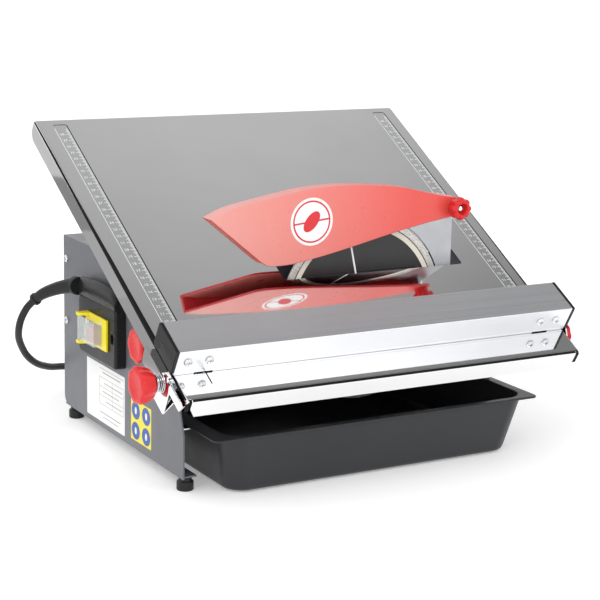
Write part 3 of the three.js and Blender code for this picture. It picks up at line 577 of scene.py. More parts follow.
def make_strain_relief():
    """A bent, tapered sleeve with a collar at the duct and a rim where the lead leaves it."""
    line = [Vector(p) / MM for p in smooth_line(RELIEF, 16)]
    stations = [(0, 8.6), (1, 9.2), (7, 9.2), (8, 8.8), (8.3, 7.7)]
    stations += [(9 + 3 * i, 7.6 - 0.17 * i) for i in range(14)]
    stations += [(51.2, 5.3), (51.8, 6.4), (54.4, 6.4), (55.2, 5.4), (55.6, 4.1)]
    lengths = [0.0]
    for a, b in zip(line, line[1:]):
        lengths.append(lengths[-1] + (b - a).length)
    scale = lengths[-1] / stations[-1][0]
    side = Vector((0, 0, 1))
    rings = []
    for at, radius in stations:
        k = min(range(1, len(line) - 1), key=lambda i: abs(lengths[i] - at * scale))
        along = (line[k + 1] - line[k - 1]).normalized()
        centre = line[k] + along * (at * scale - lengths[k])
        across = (side - along * side.dot(along)).normalized()
        other = along.cross(across)
        ribs = 28
        ring = []
        for i in range(ribs * 2):
            a = HALF_TURN * i / ribs
            groove = 0.0 if radius > 8 or at > 51 else 0.16 * (1 - math.cos(8 * a))
            spoke = across * math.cos(a) + other * math.sin(a)
            ring.append(tuple(centre + spoke * (radius - groove)))
        rings.append(ring)
    return piece("strain_relief_sleeve", raw_mesh([loft(rings)]), "rubber", "housing",
                 ["strain_relief"])


def make_plug():
    """A plain moulded plug with finger grooves and two round pins."""
    low, high = box_mm("mains_plug")
    middle_y, middle_z = middle_yz(low, high)
    stations = [(0, 4.6, 4.6), (0.8, 5.2, 5.2), (9, 5.8, 5.6), (13, 8.0, 7.0), (18, 13, 10.5),
                (22, 16, 12.2), (24, 16.8, 12.5), (26, 16.2, 12), (28, 16.8, 12.5), (30, 16.2, 12),
                (32, 16.8, 12.5), (34, 16.2, 12), (36, 16.8, 12.5), (42.6, 17, 12.5),
                (43.7, 16.4, 11.9), (44, 15.4, 11)]
    rings = []
    for at, half, tall in stations:
        outline = rounded_rectangle(-half, half, -tall, tall, min(half, tall) * 0.72, 7)
        rings.append([(low.x + at, middle_y + u, middle_z + v) for u, v in outline])
    body = piece("plug_body", raw_mesh([loft(rings)]), "rubber", "housing", ["mains_plug"],
                 sharp=50)
    pins = []
    for side in (-1, 1):
        y = middle_y + side * 9.5
        start = low.x + 43
        profile = [(start, 0), (start, 2.4), (start + 18.6, 2.4), (start + 19.7, 1.6), (start + 20, 0)]
        pins.append(turned(profile, "x", (y, middle_z), 24))
    contacts = piece("plug_pins", raw_mesh(pins), "steel", "housing")
    return [body, contacts]


def make_tie():
    """A band round the coil's turns, at its right side."""
    inner = [(u, max(v, 0.15)) for u, v in rounded_rectangle(-12, 12, -0.2, 15.6, 3, 5)]
    outer = [(u, max(v, 0.02)) for u, v in rounded_rectangle(-13.2, 13.2, 0, 16.8, 4, 5)]
    centre_x = (COIL_X + COIL_RADIUS) / MM
    rings = [[(centre_x + u, COIL_Y / MM + half, v) for u, v in outline]
             for half, outline in ((-3, outer), (3, outer), (3, inner), (-3, inner))]
    return piece("coil_tie", raw_mesh([ring_loft(rings)]), "tie_white", "housing")


def make_lead():
    """The mains lead: one line from the strain relief, through its coil, into the plug."""
    relief = make_strain_relief()
    points = [(x + MIDDLE, y, z) for x, y, z in (*ROUTE, *coil_points(), *TAIL)]
    data = bpy.data.curves.new("mains_lead", "CURVE")
    data.dimensions = "3D"
    data.bevel_depth = CORD_RADIUS
    data.bevel_resolution = 5
    data.resolution_u = 6
    data.use_fill_caps = True
    spline = data.splines.new("BEZIER")
    spline.bezier_points.add(len(points) - 1)
    for knot, place in zip(spline.bezier_points, points):
        knot.co = place
        knot.handle_left_type = knot.handle_right_type = "AUTO"
    data.materials.append(looks["rubber"])
    lead = bpy.data.objects.new("mains_lead", data)
    bpy.context.scene.collection.objects.link(lead)
    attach(lead, "housing")
    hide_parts("mains_cord", "cord_coil", "cord_tail")
    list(make_plug())
    make_tie()


# ---------------------------------------------------------------- table

def make_table_top():
    """One sheet: the top, a turned-down flange on each side, and a return along the back."""
    centre = (HALF_DECK - BEND, -BEND)
    right = [(HALF_DECK - BEND, 0), *arc(centre, BEND, 90, 0)[1:], (HALF_DECK, -FLANGE),
             (HALF_DECK - SHEET, -FLANGE), *arc(centre, BEND - SHEET, 0, 90)]
    left = [(-x, n) for x, n in reversed(right)]
    sheet = prism(left + right, "y", 0.5, DECK_DEPTH)
    front_section = [(3.4, 0), (3.4, -SHEET), *arc((BEND, -BEND), BEND - SHEET, 90, 180),
                     (SHEET, -FLANGE), (0, -FLANGE), *arc((BEND, -BEND), BEND, 180, 90)]
    front = prism(front_section, "x", -204.6, 205.4)
    back_section = [(DECK_DEPTH - 6, -0.2), (DECK_DEPTH - 6, -1.3), (DECK_DEPTH - SHEET, -1.3),
                    (DECK_DEPTH - SHEET, -12), (DECK_DEPTH, -12), (DECK_DEPTH, -0.2)]
    back = prism(back_section, "x", -202, 202)
    slot = prism(rounded_rectangle(*SLOT["x"], *SLOT["s"], 3), "z", -4, 3)
    front_gap = block((-207.4, 208.4), (-1, 3.1), (-FLANGE - 2, 2))
    under = -FLANGE - 0.5
    left_corner = prism([(-211, -10), (-204.4, -10), (-199, under), (-211, under)], "y", -1, 4)
    right_corner = prism([(211, -14), (205.2, -14), (198, under), (211, under)], "y", -1, 4)
    toe = [(-1, -2.6), (0.6, -2.6), (8, -FLANGE), (8, -FLANGE - 1), (-1, -FLANGE - 1)]
    toes = [prism(toe, "x", a, b) for a, b in ((-212, -204), (204, 212))]
    heel = 10
    heel_outline = [(DECK_DEPTH + 1, -FLANGE + heel),
                    *arc((DECK_DEPTH - heel, -FLANGE + heel), heel, 0, -90, 8),
                    (DECK_DEPTH - heel, -FLANGE - 1), (DECK_DEPTH + 1, -FLANGE - 1)]
    heels = [prism(heel_outline, "x", a, b) for a, b in ((-212, -207), (207, 212))]
    top = carved([sheet], cut=[front_gap, slot, *toes, *heels])
    flange = carved([front], cut=[left_corner, right_corner])
    joined = join_meshes([top, flange, raw_mesh([back])])
    piece("table_top", joined, "stainless", "table", ["deck_plate"], DECK)


def join_meshes(meshes):
    """Several meshes as one."""
    work = bmesh.new()
    for mesh in meshes:
        work.from_mesh(mesh)
    joined = bpy.data.meshes.new("work")
    work.to_mesh(joined)
    work.free()
    return joined


def make_edge_lines():
    """Black strips painted along the table's side and front bends as the dark reflection in their round
    edges, and black blocks painted as shade in the gaps at its two front corners.
    """

    def across(side, start, end, lift):
        """Points over the bend, from start to end, as distances from where the bend begins."""
        points = []
        for i in range(13):
            u = start + (end - start) * i / 12
            angle = min(max(u / BEND, 0), HALF_TURN / 2)
            flat, down = min(u, 0), max(u - BEND * HALF_TURN / 2, 0)
            reach = HALF_DECK - BEND + flat + (BEND + lift) * math.sin(angle)
            points.append((side * reach, -BEND + (BEND + lift) * math.cos(angle) - down))
        return points

    def seam(name, mesh):
        piece(name, mesh, "print_black", "table", place=DECK)

    # Places up the slope, and where the seam starts and ends there across the bend.
    stations = [(3.4, 1.4, 3.4), (34, 1.2, 3.4), (42, -1.6, 5.0), (110, -0.8, 4.6),
                (DECK_DEPTH - 0.5, 1.3, 2.9)]
    solids = []
    for side in (-1, 1):
        rings = []
        for place, start, end in stations:
            section = across(side, start, end, REFLECTION_OUT) + across(side, start, end, REFLECTION_IN)[::-1]
            rings.append([(x, place, n) for x, n in section])
        solids.append(loft(rings))
    # Painted reflection: the rounded bends mirror a dark surround, drawn as black lines.
    seam("table_bend_reflections", raw_mesh(solids))
    centre = (BEND, -BEND)
    front = [*arc(centre, BEND + REFLECTION_OUT, 98, 152), *arc(centre, BEND + REFLECTION_IN, 152, 98)]
    seam("table_front_bend_reflection", raw_mesh([prism(front, "x", -204, 205)]))
    # Painted shade: black blocks fill the open gaps at the two front corners, where the inside shows
    # dark.
    for hand, low, high, lead_in in (("left", -208.3, -204.9, 1.6), ("right", 205.8, 209.9, 0.2)):
        gap_shade = block((low, high), (lead_in, 3.2), (-14, -1.6))
        seam(f"table_corner_gap_shade_{hand}", carved([gap_shade], last_bevel=(0.5, 2, 40)))


def number_mesh(text, size, x, s, height):
    """A number in relief on the table, readable from its front edge."""
    data = bpy.data.curves.new("number", "FONT")
    data.body = text
    data.size = size
    data.extrude = 0.02
    data.resolution_u = 2
    data.align_x = "CENTER"
    data.align_y = "CENTER"
    made = bpy.data.objects.new("number", data)
    bpy.context.scene.collection.objects.link(made)
    graph = bpy.context.evaluated_depsgraph_get()
    mesh = bpy.data.meshes.new_from_object(made.evaluated_get(graph))
    mesh.transform(Matrix.Translation((x, s, height)))
    bpy.data.objects.remove(made)
    return mesh


def make_ruler(name, x0, x1, near):
    """A scale etched along the table: a light strip, a black line painted as the shadow of its recessed
    rim along the right and far edge, a light line painted as the lit rim down its left, its scale marks
    and its centimetres.
    """
    far = 396.5
    left, right = (x0 + 3, far - 3), (x1 - 3, far - 3)

    def layer(part, mesh, material):
        piece(f"{name}_{part}", mesh, material, "table", place=DECK)

    strip = [(x0, near), (x1, near), *arc(right, 3, 0, 90), *arc(left, 3, 90, 180)]
    layer("strip", raw_mesh([prism(strip, "z", 0.005, 0.05)]), "etched")
    # Painted shadow: the black line where the recessed strip's rim shades its right and far edge.
    recess_shadow = [(x1 - 1.2, near), (x1, near), *arc(right, 3, 0, 90), *arc(left, 3, 90, 150),
              *arc(left, 2.2, 150, 90), *arc(right, 2.1, 90, 0)]
    layer("recess_shadow", raw_mesh([prism(recess_shadow, "z", 0.04, 0.12)]), "print_black")
    # The first line, down the strip's left, is a painted highlight of the lit rim; the scale's marks
    # follow.
    ticks_and_edge_highlight = [prism(rectangle(x0, x0 + 0.5, near, far - 6), "z", 0.04, 0.11)]
    reach = {0: 5.2, 5: 3.8}
    start = x1 - 1.4
    for millimetre in range(near + 2, 390):
        length = reach.get(millimetre % 10, 2.4)
        width = 0.16 if millimetre % 5 else 0.24
        ticks_and_edge_highlight.append(block((start - length, start), (millimetre - width, millimetre + width),
                           (0.045, 0.1)))
    layer("ticks_and_edge_highlight", raw_mesh(ticks_and_edge_highlight), "etched_mark")
    numbers = [number_mesh(str(cm), 4.6, (x0 + x1) / 2 - 2.8, 10 * cm, 0.06)
               for cm in range(near // 10 + 1, 39)]
    layer("numbers", join_meshes(numbers), "etched_mark")


# ---------------------------------------------------------------- fence

FENCE_FRONT, FENCE_BACK = 32.5, 72.0
FENCE_BASE, FENCE_TOP = 0.3, 27.0
FENCE_HALF = 209.5
FENCE_WALL = 2.0
SCREW_HEIGHT = 14.5
SCREW_PLACES = [-199, -178.5, 176, 194.5]
CLAMP_S, CLAMP_N = 36, -10


def make_fence_rail():
    """A channel, open below, with four fine grooves on top, one low in front, and two black strips
    painted as the shadow in the gaps under its front.
    """
    edge = 0.8
    low, high = FENCE_BASE, FENCE_TOP - FENCE_WALL
    top = arc((FENCE_BACK - edge, FENCE_TOP - edge), edge, 0, 90, 3)
    for s in (62, 56, 50, 44):
        top += [(s + 0.3, FENCE_TOP), (s, FENCE_TOP - 0.06), (s - 0.3, FENCE_TOP)]
    top += arc((FENCE_FRONT + edge, FENCE_TOP - edge), edge, 90, 180, 3)
    front = [(FENCE_FRONT, 3.4), (FENCE_FRONT + 0.3, 3.1), (FENCE_FRONT + 0.3, 2.6),
             (FENCE_FRONT, 2.3), (FENCE_FRONT, low)]
    inside = [(FENCE_FRONT + FENCE_WALL, low), (FENCE_FRONT + FENCE_WALL, high),
              (FENCE_BACK - FENCE_WALL, high), (FENCE_BACK - FENCE_WALL, low), (FENCE_BACK, low)]
    rail = raw_mesh([prism(top + front + inside, "x", -FENCE_HALF, FENCE_HALF)])
    piece("fence_extrusion", rail, "aluminium", "fence", ["fence_rail"], DECK, sharp=25)
    # Painted shadow: thin black strips at the foot of the front, where the gap under the fence shows
    # dark.
    notch_shadows = [block((x, x + 18), (FENCE_FRONT - 0.06, FENCE_FRONT + 1), (FENCE_BASE, 1.3))
               for x in (-190, 172)]
    piece("fence_notch_shadows", raw_mesh(notch_shadows), "print_black", "fence", place=DECK)


def cross_screw(name, replaced, axis, centre, profile, recess, body, place=None):
    """A turned screw with a cross cut in its head. The recess is where the cross starts and ends."""
    arms = [prism(rotated(rectangle(-a, a, -b, b), 0, centre), axis, *recess)
            for a, b in ((2.1, 0.45), (0.45, 2.1))]
    mesh = carved([turned(profile, axis, centre, 32)], cut=arms)
    piece(name, mesh, "zinc", body, [replaced], place)


def make_fence_screws():
    """Pan-head screws on the front of the fence."""
    head, tall = 3.9, 2.0
    base = FENCE_FRONT - 0.25
    profile = [(base - tall, 0), (base - tall, head * 0.45), (base - tall * 0.92, head * 0.72),
               (base - tall * 0.7, head * 0.9), (base - tall * 0.35, head), (base, head), (base, 1.8),
               (base + 6, 1.8), (base + 6, 0)]
    recess = (base - tall - 1, base - tall + 1.1)
    for number, x in enumerate(SCREW_PLACES, 1):
        cross_screw(f"fence_pan_screw_{number}", f"fence_screw_{number}", "y", (x, SCREW_HEIGHT),
                    profile, recess, "fence", DECK)


def make_fence_cap(side, name):
    """A black end cap with a soft edge."""
    outline = rounded_rectangle(FENCE_FRONT - 0.4, FENCE_BACK + 0.3, 2.4, FENCE_TOP + 0.3, 1.6, 4)
    start, end = FENCE_HALF + 0.2, FENCE_HALF + 3.4
    span = (start, end) if side > 0 else (-end, -start)
    mesh = carved([prism(outline, "x", *span)], last_bevel=(0.6, 3, 40))
    piece(f"fence_end_cap_{name}", mesh, "black_plastic", "fence",
          [f"fence_cap_{name}"], DECK)


def lobed_ring(radius, lobes, depth, steps, round_share):
    """An outline with rounded lobes. A round share of 1 gives a circle of the lobes' mean radius."""
    points = []
    for i in range(steps):
        a = 2 * HALF_TURN * i / steps
        dip = depth * (0.5 - 0.5 * math.cos(lobes * a)) ** 1.4
        r = (radius - dip) * (1 - round_share) + (radius - depth * 0.4) * round_share
        points.append((r * math.cos(a), r * math.sin(a)))
    return points


def knob_rings(axis, start, direction, centre, lobing, stations):
    """Rings of a hand knob. Lobing is its radius, its lobes, their depth and the steps round it.

    A station is (distance from start, share of the radius, how round it is).
    """
    rings = []
    for at, share, round_share in stations:
        outline = lobed_ring(*lobing, round_share) if share else [(0, 0)]
        rings.append([lifted((centre[0] + u * share, centre[1] + v * share), axis,
                             start + direction * at) for u, v in outline])
    return rings


# A broad, slightly dished face, then a scalloped skirt that draws in to the neck.
CLAMP_KNOB = [(0.6, 0, 1), (0.5, 0.3, 1), (0.2, 0.66, 0.6), (0, 0.82, 0.2), (0.25, 0.93, 0),
              (0.9, 0.985, 0), (1.7, 1, 0), (3.4, 0.985, 0), (7.0, 0.9, 0.05), (9.6, 0.8, 0.2),
              (10.8, 0.7, 0.6), (11.4, 0.56, 1)]


def make_fence_knob(side, name):
    """A lobed knob on its stud. The left one has washers, the right one is small and flat."""
    low, high = box_mm(f"fence_knob_{name}")
    centre = (CLAMP_S, CLAMP_N)
    outer = low.x if side < 0 else high.x
    radius, depth = (17, 1.4) if side < 0 else (12, 0.4)
    stations = [(at * depth if at > 2 else at, share, full) for at, share, full in CLAMP_KNOB]
    stations.append((stations[-1][0], 0, 1))
    lobing = (radius, 7, radius * 0.09, 7 * 14)
    knob = raw_mesh([loft(knob_rings("x", outer, -side, centre, lobing, stations))])
    body = f"fence_clamp_{name}"
    piece(f"clamp_knob_{name}", knob, "red_plastic", body, [f"fence_knob_{name}"], DECK)
    solids = []
    for at, width in ((0.1, 6.6), (1.3, 8.2), (2.5, 9.0)) if side < 0 else ():
        a, b = side * (221.1 + at), side * (221.1 + at + 0.9)
        edge = 0.2 * side
        profile = [(a, 0), (a, width - 0.2), (a + edge, width), (b - edge, width), (b, width - 0.2),
                   (b, 0)]
        solids.append(turned(profile, "x", centre, 32))
    ends = sorted((side * (HALF_DECK + 0.4), outer - side * 2.5))
    solids.append(rod(3, "x", *ends, centre, 20))
    piece(f"clamp_washers_{name}", raw_mesh(solids), "zinc", body, place=DECK)


def make_tilt_knob():
    """The knob of the tilt lock, on the left panel."""
    low, high = box_mm("tilt_knob")
    tall = high.x - low.x
    stations = [*CLAMP_KNOB, (tall, 0.56, 1), (tall, 0, 1)]
    rings = knob_rings("x", low.x, 1, middle_yz(low, high), (16.5, 7, 1.5, 7 * 14), stations)
    piece("tilt_hand_knob", raw_mesh([loft(rings)]), "red_plastic", "tilt_clamp",
          ["tilt_knob"])


# ---------------------------------------------------------------- guard, blade and knife

def guard_top(inset=0.0):
    """The top edge of the guard seen from its side, as (x, z), lowered by an inset."""
    top = smooth_line([(-130.3, 244.7), (-111, 252.6), (-90, 257.2), (-38, 266), (-5.7, 268.6),
                       (27.4, 268.2), (72.8, 264.2), (96, 259.3), (119.8, 253.8), (137, 251)], 7)
    return [(x, z - inset) for x, z in top[:-1]]


def make_guard():
    """A hood over the blade with rounded shoulders, open below, in front and behind the knife."""
    end = arc(GUARD_PIVOT, 10, 84, -62, 14)
    bottom = smooth_line([(109.2, 227.6), (74.6, 221.1), (40.6, 213.6), (7.3, 206.3), (-25.5, 200.1),
                          (-47, 197.2), (-60, 196.7)], 4)
    chin = smooth_line([(-60, 196.7), (-66, 196.9), (-72, 198.2), (-78, 202)], 4)[1:]
    ceiling = guard_top(GUARD_WALL)
    inner = [(-142, 190), (-142, ceiling[0][1]), *ceiling, (GUARD_PIVOT[0] - 4, GUARD_PIVOT[1] + 7.4),
             (165, 248.4), (165, 190)]
    hollow = prism(inner, "y", GUARD_NEAR + GUARD_WALL, GUARD_FAR - GUARD_WALL)
    bolt = rod(3.4, "y", GUARD_NEAR - 5, GUARD_FAR + 5, GUARD_PIVOT, 24)
    skin = prism([*guard_top(), *end, *bottom, *chin], "y", GUARD_NEAR, GUARD_FAR)
    mesh = carved([skin], cut=[hollow, bolt], first_bevel=(1.5, 4, 50))
    hood = piece("guard_hood", mesh, ["guard_plastic", "guard_edge"], "guard",
                 ["blade_guard"], sharp=30)
    for face in hood.data.polygons:
        cut_edge = face.normal.z < -0.6 or face.normal.x < -0.6
        face.material_index = 1 if cut_edge else 0


def make_guard_sign():
    """A round white sign with a red ring and a plain bar, on the guard's near face."""
    centre = (-24.5, 236.8)
    face = GUARD_NEAR - 0.02

    def sheet(outline, lift, thick, degrees=0):
        """An outline about the sign's centre, as a thin sheet over the guard."""
        return prism(rotated(outline, degrees, centre), "y", face - lift - thick, face - lift)

    disc = sheet(circle(22.8, steps=64), 0, 0.12)
    piece("guard_sign", raw_mesh([disc]), "print_white", "guard")
    ring = turned([(face - 0.2, 18.6), (face - 0.2, 20.2), (face - 0.1, 20.2), (face - 0.1, 18.6)],
                  "y", centre, 64, loop=True)
    bar = sheet(rectangle(-18.8, 18.8, -0.8, 0.8), 0.1, 0.1, 6)
    mark = sheet([(u, v * 0.55) for u, v in circle(11.5, steps=64)], 0.08, 0.16, 50)
    piece("guard_sign_marks", raw_mesh([ring, bar, mark]), "print_red", "guard")


def make_guard_knob():
    """The knob that holds the guard on the knife, with a recess round its bolt."""
    stations = [(5, 0.36, 1), (5, 0.46, 1), (1.2, 0.5, 1), (0.3, 0.56, 0.9), (0, 0.66, 0.6),
                (0.3, 0.8, 0.3), (1.2, 0.92, 0.1), (2.4, 0.98, 0), (4, 1, 0), (8.4, 1, 0), (10, 0.95, 0),
                (11, 0.84, 0.3), (11.4, 0.7, 1), (15.6, 0.66, 1), (15.7, 0.36, 1)]
    rings = knob_rings("y", GUARD_NEAR - 16, 1, GUARD_PIVOT, (11.3, 8, 1.9, 8 * 12), stations)
    piece("guard_hand_knob", raw_mesh([ring_loft(rings)]), "red_plastic", "guard_clamp",
          ["guard_knob"])


def make_guard_bolt():
    """A hexagon bolt through the guard and the knife, with a domed end in the knob's recess."""
    end = GUARD_NEAR - 13
    profile = [(end, 0), (end + 0.2, 1.6), (end + 0.9, 2.8), (GUARD_FAR + 1, 3), (GUARD_FAR + 1, 0)]
    shank = turned(profile, "y", GUARD_PIVOT, 24)
    head = carved([prism(circle(5.8, GUARD_PIVOT, 6), "y", GUARD_FAR + 0.3, GUARD_FAR + 4)],
                  last_bevel=(0.4, 2, 30))
    piece("guard_hex_bolt", join_meshes([raw_mesh([shank]), head]), "zinc", "housing",
          ["guard_bolt"])


def make_blade():
    """The disc: a black printed core, a cream ring and a diamond rim. Each zone is its own skin."""
    near, far = BLADE_Y - 0.9, BLADE_Y + 0.9
    centre = (BLADE_X, BLADE_Z)

    def zone(name, material, half, replaces=()):
        """A skin from places as (rise over the blade's face, radius), the same on both faces."""
        profile = [(near - rise, radius) for rise, radius in half]
        profile += [(far + rise, radius) for rise, radius in reversed(half)]
        mesh = raw_mesh([turned(profile, "y", centre, 120, loop=True)])
        piece(name, mesh, material, "blade_shaft", replaces)

    zone("blade_core", "blade_black", [(0, 11.2), (0, 83.6)], ["blade"])
    zone("blade_ring", "blade_cream", [(0.04, 77.6), (0.04, 82.6)])
    zone("blade_rim", "diamond_rim", [(0.05, 83.5), (0.25, 84), (0.25, 89.4), (0.05, 90)])
    bar = rectangle(30, 77.8, -0.9, 0.9)
    marks = [prism(rotated(bar, degrees, centre), "y", near - 0.05, near - 0.005)
             for degrees in (102.7, 282.7)]
    piece("blade_print", raw_mesh(marks), "print_white", "blade_shaft")


# ---------------------------------------------------------------- switch

def make_switch_box():
    """A moulded box on the left panel, with a cable duct along its top and a window for the keys."""
    low, high = box_mm("switch_box")
    front, rear, bottom, top = low.y, high.y, low.z, 146.5
    outer, inner = -183.5, high.x
    rings = []
    for at, inset in ((inner, 0), (outer + 2.6, 0), (outer + 1.3, 0.35), (outer + 0.4, 1.2),
                      (outer, 2.6)):
        outline = rounded_rectangle(front + inset, rear - inset, bottom + inset, top - inset, 5, 6)
        rings.append([(at, y, z) for y, z in outline])
    # The cable duct rises from the box's top edge and leans back to the panel.
    cowl = []
    for y, crest in ((28.2, 150), (29, 154), (31, 157.5), (36, 160.6), (42, 162.4), (60, 164.3),
                     (77, 164.7), (100, 163.4), (rear - 1, 161.8), (rear, 161)):
        tall = (crest - 145.5) / 18
        section = smooth_line([(outer + 0.2, 145.2), (outer - 0.7 * tall, 145.5 + 5 * tall),
                               (outer - 0.4 * tall, 145.5 + 10 * tall),
                               (outer + 1.2, 145.5 + 15.2 * tall),
                               (outer + 4, crest), (outer + 7.5, crest - 0.7), (inner, crest - 2.6)], 5)
        cowl.append([(x, y, z) for x, z in (*section, (inner, 142), (outer + 3, 142))])
    window = block((outer - 1, outer + 20), (54, 90.9), (104.3, 125))
    oval = [(y * 0.72 + 34.3, z) for y, z in circle(5.3, (0, 116.1), 24)]
    hole = prism(oval, "x", outer - 1, outer + 4)
    panel_cut = block((PANEL_X - 0.3, PANEL_X + 12), (20, 130), (130, 170))
    mesh = join_meshes([carved([loft(rings)], cut=[window, hole, panel_cut]), raw_mesh([loft(cowl)])])
    piece("switch_housing", mesh, "black_plastic", "housing", ["switch_box"], sharp=32)


def make_switch_keys():
    """The two keys, each with a shallow dish and its plain sign in relief."""
    for name, material, slot in (("stop", "stop_plastic", "red_plastic"),
                                 ("start", "green_plastic", "green_plastic")):
        low, high = box_mm(f"{name}_button")
        face = low.x
        rings = []
        for at, inset in ((high.x, 0), (face + 1.2, 0), (face + 0.4, 0.3), (face, 1.0), (face, 1.6),
                          (face + 0.4, 2.6)):
            outline = rounded_rectangle(low.y + inset, high.y - inset, low.z + inset, high.z - inset,
                                        max(0.8, 1.6 - inset * 0.2), 4)
            rings.append([(at, y, z) for y, z in outline])
        piece(f"{name}_key", raw_mesh([loft(rings)]), material, f"{name}_key", [f"{name}_button"],
              sharp=50)
        y, z = middle_yz(low, high)
        if name == "stop":
            sign = ring_loft([[(face + x, y + 0.5 + a, z + b * 1.35) for a, b in circle(r, steps=32)]
                              for x, r in ((0.5, 3.4), (0.5, 2.2), (0.9, 2.2), (0.9, 3.4))])
        else:
            sign = block((face + 0.3, face + 0.7), (y - 0.5, y + 0.5), (z - 3.4, z + 3.4))
        piece(f"{name}_key_sign", raw_mesh([sign]), "print_white", f"{name}_key")


# ---------------------------------------------------------------- housing

def make_labels():
    """A plain rating label with bars for its lines, and a yellow sticker with four blue discs."""
    face = PANEL_X - 0.02
    front = face - 0.17

    def printed(name, material, outlines, low, high):
        """Thin sheets over the left panel, from their outlines as (y, z)."""
        solids = [prism(outline, "x", low, high) for outline in outlines]
        piece(name, raw_mesh(solids), material, "housing")

    def ovals(radius, wide, tall, steps):
        """An oval at each of the sticker's four places."""
        return [[(y + u * wide, z + v * tall) for u, v in circle(radius, steps=steps)]
                for y in (-19.8, 3.8) for z in (32, 52)]

    # Height, start, end and half thickness of each bar.
    rows = [(74, 33, 92, 0.25), (70.5, 40, 84, 0.5), (65, 33, 92, 0.2), (60, 36, 80, 0.4),
            (55.5, 33, 92, 0.2), (51, 44, 84, 0.4), (46.5, 33, 92, 0.2), (42, 36, 76, 0.4),
            (37.5, 33, 92, 0.2), (29, 40, 90, 0.4), (24.5, 46, 84, 0.3)]
    bars = [rectangle(start, end, z - half, z + half) for z, start, end, half in rows]
    bars += [rectangle(y - 0.2, y + 0.2, 37.5, 65) for y in (33, 60, 92)]
    label = rounded_rectangle(30, 124, 19, 78, 1.2, 4)
    sticker = rounded_rectangle(-31, 15, 22, 62, 1.0, 4)
    printed("rating_label", "print_white", [label], face - 0.12, face)
    printed("rating_label_bars", "print_grey", bars, front, front + 0.06)
    printed("yellow_sticker", "print_yellow", [sticker], face - 0.12, face)
    printed("sticker_discs", "print_blue", ovals(8.6, 1.08, 1, 40), front, front + 0.06)
    printed("sticker_spots", "print_white", ovals(2.8, 0.8, 1.3, 24), front - 0.05, front + 0.01)


def make_panel_screws():
    """Pan-head screws low on the left panel."""
    base = PANEL_X - 0.1
    for index in (1, 2):
        low, high = box_mm(f"panel_screw_{index}")
        profile = [(base - 2.3, 0), (base - 2.3, 1.6), (base - 1.9, 3.1), (base - 0.9, 4), (base, 4),
                   (base, 1.8), (high.x, 1.8), (high.x, 0)]
        cross_screw(f"panel_pan_screw_{index}", f"panel_screw_{index}", "x", middle_yz(low, high),
                    profile, (base - 3, base - 1.3), "housing")


def make_feet():
    """Rubber feet with a waist and a soft edge."""
    for name in ("front_left", "front_right", "rear_left", "rear_right"):
        low, high = box_mm(f"foot_{name}")
        centre = ((low.x + high.x) / 2, (low.y + high.y) / 2)
        profile = [(0, 0), (0, 6.9), (0.4, 7.7), (1.2, 8), (7.4, 8), (8.6, 7.7), (9.3, 6.8), (10, 6.2),
                   (high.z, 6), (high.z, 0)]
        piece(f"rubber_foot_{name}", raw_mesh([turned(profile, "z", centre, 40)]), "rubber",
              "housing", [f"foot_{name}"])


# ---------------------------------------------------------------- water tray

def make_tray():
    """A drafted bath with soft corners and a flat rim."""
    low, high = box_mm("water_tray")
    rim, skin = 2.0, 2.2
    floor, top = low.z, high.z

    def ring(left, right, end, z, radius):
        outline = rounded_rectangle(low.x + left, high.x - right, low.y + end, high.y - end, radius, 9)
        return [(x, y, z) for x, y in outline]

    def wall(z, inset=0.0, radius=21.0):
        """The outer skin at a height, with its draft."""
        share = (z - floor) / (top - rim - floor)
        return ring(27 - 13 * share + inset, 17 - 9 * share + inset, 20 - 15 * share + inset, z,
                    radius - inset * 0.5)

    def mouth(inset, z, radius):
        """The inner edge of the rim."""
        return ring(14 + skin + inset, 8 + skin + inset, 5 + skin + inset, z, radius)

    rings = [wall(floor, 6, 17), wall(floor + 0.1, 4.2, 18), wall(floor + 0.9, 2, 19),
             wall(floor + 2.4, 0.6, 20), wall(floor + 5), wall(top - rim - 1.2), wall(top - rim, -0.8),
             ring(0.6, 0.6, 0.6, top - rim, 6), ring(0, 0, 0, top - rim + 0.5, 6.4),
             ring(0, 0, 0, top - 0.5, 6.4), ring(0.6, 0.6, 0.6, top, 6), mouth(-0.6, top, 20),
             mouth(0.2, top - 0.3, 19.5), mouth(0.9, top - 1.4, 19),
             wall(floor + 8, skin), wall(floor + skin + 2.4, skin + 0.8),
             wall(floor + skin + 0.7, skin + 2.6), wall(floor + skin, skin + 5)]
    piece("tray_bath", raw_mesh([loft(rings)]), "tray_plastic", "tray", ["water_tray"],
          sharp=44)


# ---------------------------------------------------------------- CAD nodes that stay

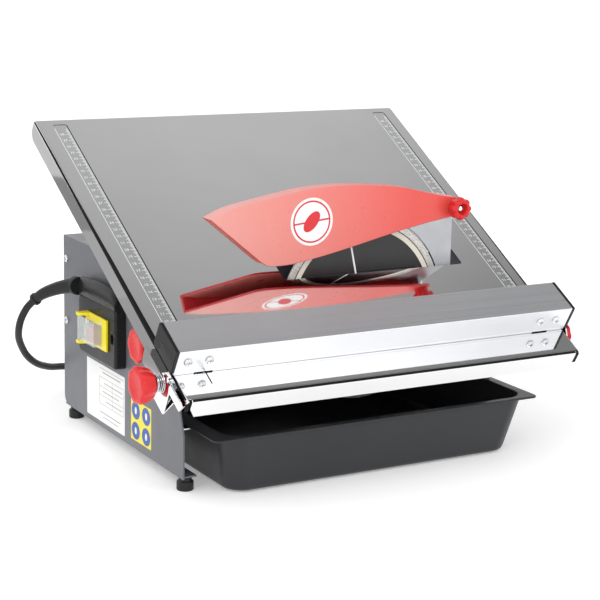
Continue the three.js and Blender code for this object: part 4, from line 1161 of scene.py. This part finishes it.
def dress(node, material, bevel=0.0, segments=2, sharp=35):
    """Gives a CAD node its material, and softens its edges with modifiers."""
    made = nodes[node]
    made.data.materials.clear()
    made.data.materials.append(looks[material])
    weld = made.modifiers.new("weld", "WELD")
    weld.merge_threshold = 1e-6
    if bevel:
        add_bevel(made, bevel * MM, segments, sharp)
    normals = made.modifiers.new("normals", "WEIGHTED_NORMAL")
    normals.keep_sharp = True
    made.data.shade_smooth()


def dress_cad_nodes():
    kept = {
        ("grey_paint", "grey_paint", 0.5): ["left_side_panel", "right_side_panel", "rear_cover",
                                            "bulkhead"],
        ("knife_steel", "zinc", 0.25): ["riving_knife"],
        ("zinc", "zinc", 0.25): ["tray_rail_left", "tray_rail_right", "knife_bracket",
                                 "hinge_pin_left", "hinge_pin_right", "tilt_bolt", "hinge_plate_left",
                                 "hinge_plate_right", "inner_flange", "outer_flange"],
        ("bright_steel", "zinc", 0.25): ["fence_bracket_left", "fence_bracket_right"],
        ("steel", "steel", 0.3): ["front_bearing", "rear_bearing", "rotor_shaft", "arbor_nut"],
        ("aluminium", "aluminium", 0.4): ["motor_front_bell"],
        ("grey_paint", "grey_paint", 0.4): ["motor_can"],
        ("black_plastic", "black_plastic", 0.4): ["fan_cowl", "run_capacitor", "cooling_fan"],
        ("copper", "copper", 0.4): ["stator"],
        ("yellow_plastic", "yellow_plastic", 0.8): ["switch_frame"],
        ("clear_plastic", "clear_plastic", 0.2): ["switch_flap"],
    }
    for (material, slot, bevel), names in kept.items():
        for node in names:
            dress(node, material, bevel)


# ---------------------------------------------------------------- the whole

make_camera()
looks = make_materials()
make_stage()
make_lead()
make_table_top()
make_edge_lines()
make_ruler("ruler_left", -193, -178, 18)
make_ruler("ruler_right", 181.5, 196.5, 40)
make_fence_rail()
make_fence_screws()
for hand, end_name in ((-1, "left"), (1, "right")):
    make_fence_cap(hand, end_name)
    make_fence_knob(hand, end_name)
make_tilt_knob()
make_guard()
make_guard_sign()
make_guard_knob()
make_guard_bolt()
make_blade()
make_switch_box()
make_switch_keys()
make_labels()
make_panel_screws()
make_feet()
make_tray()
dress_cad_nodes()
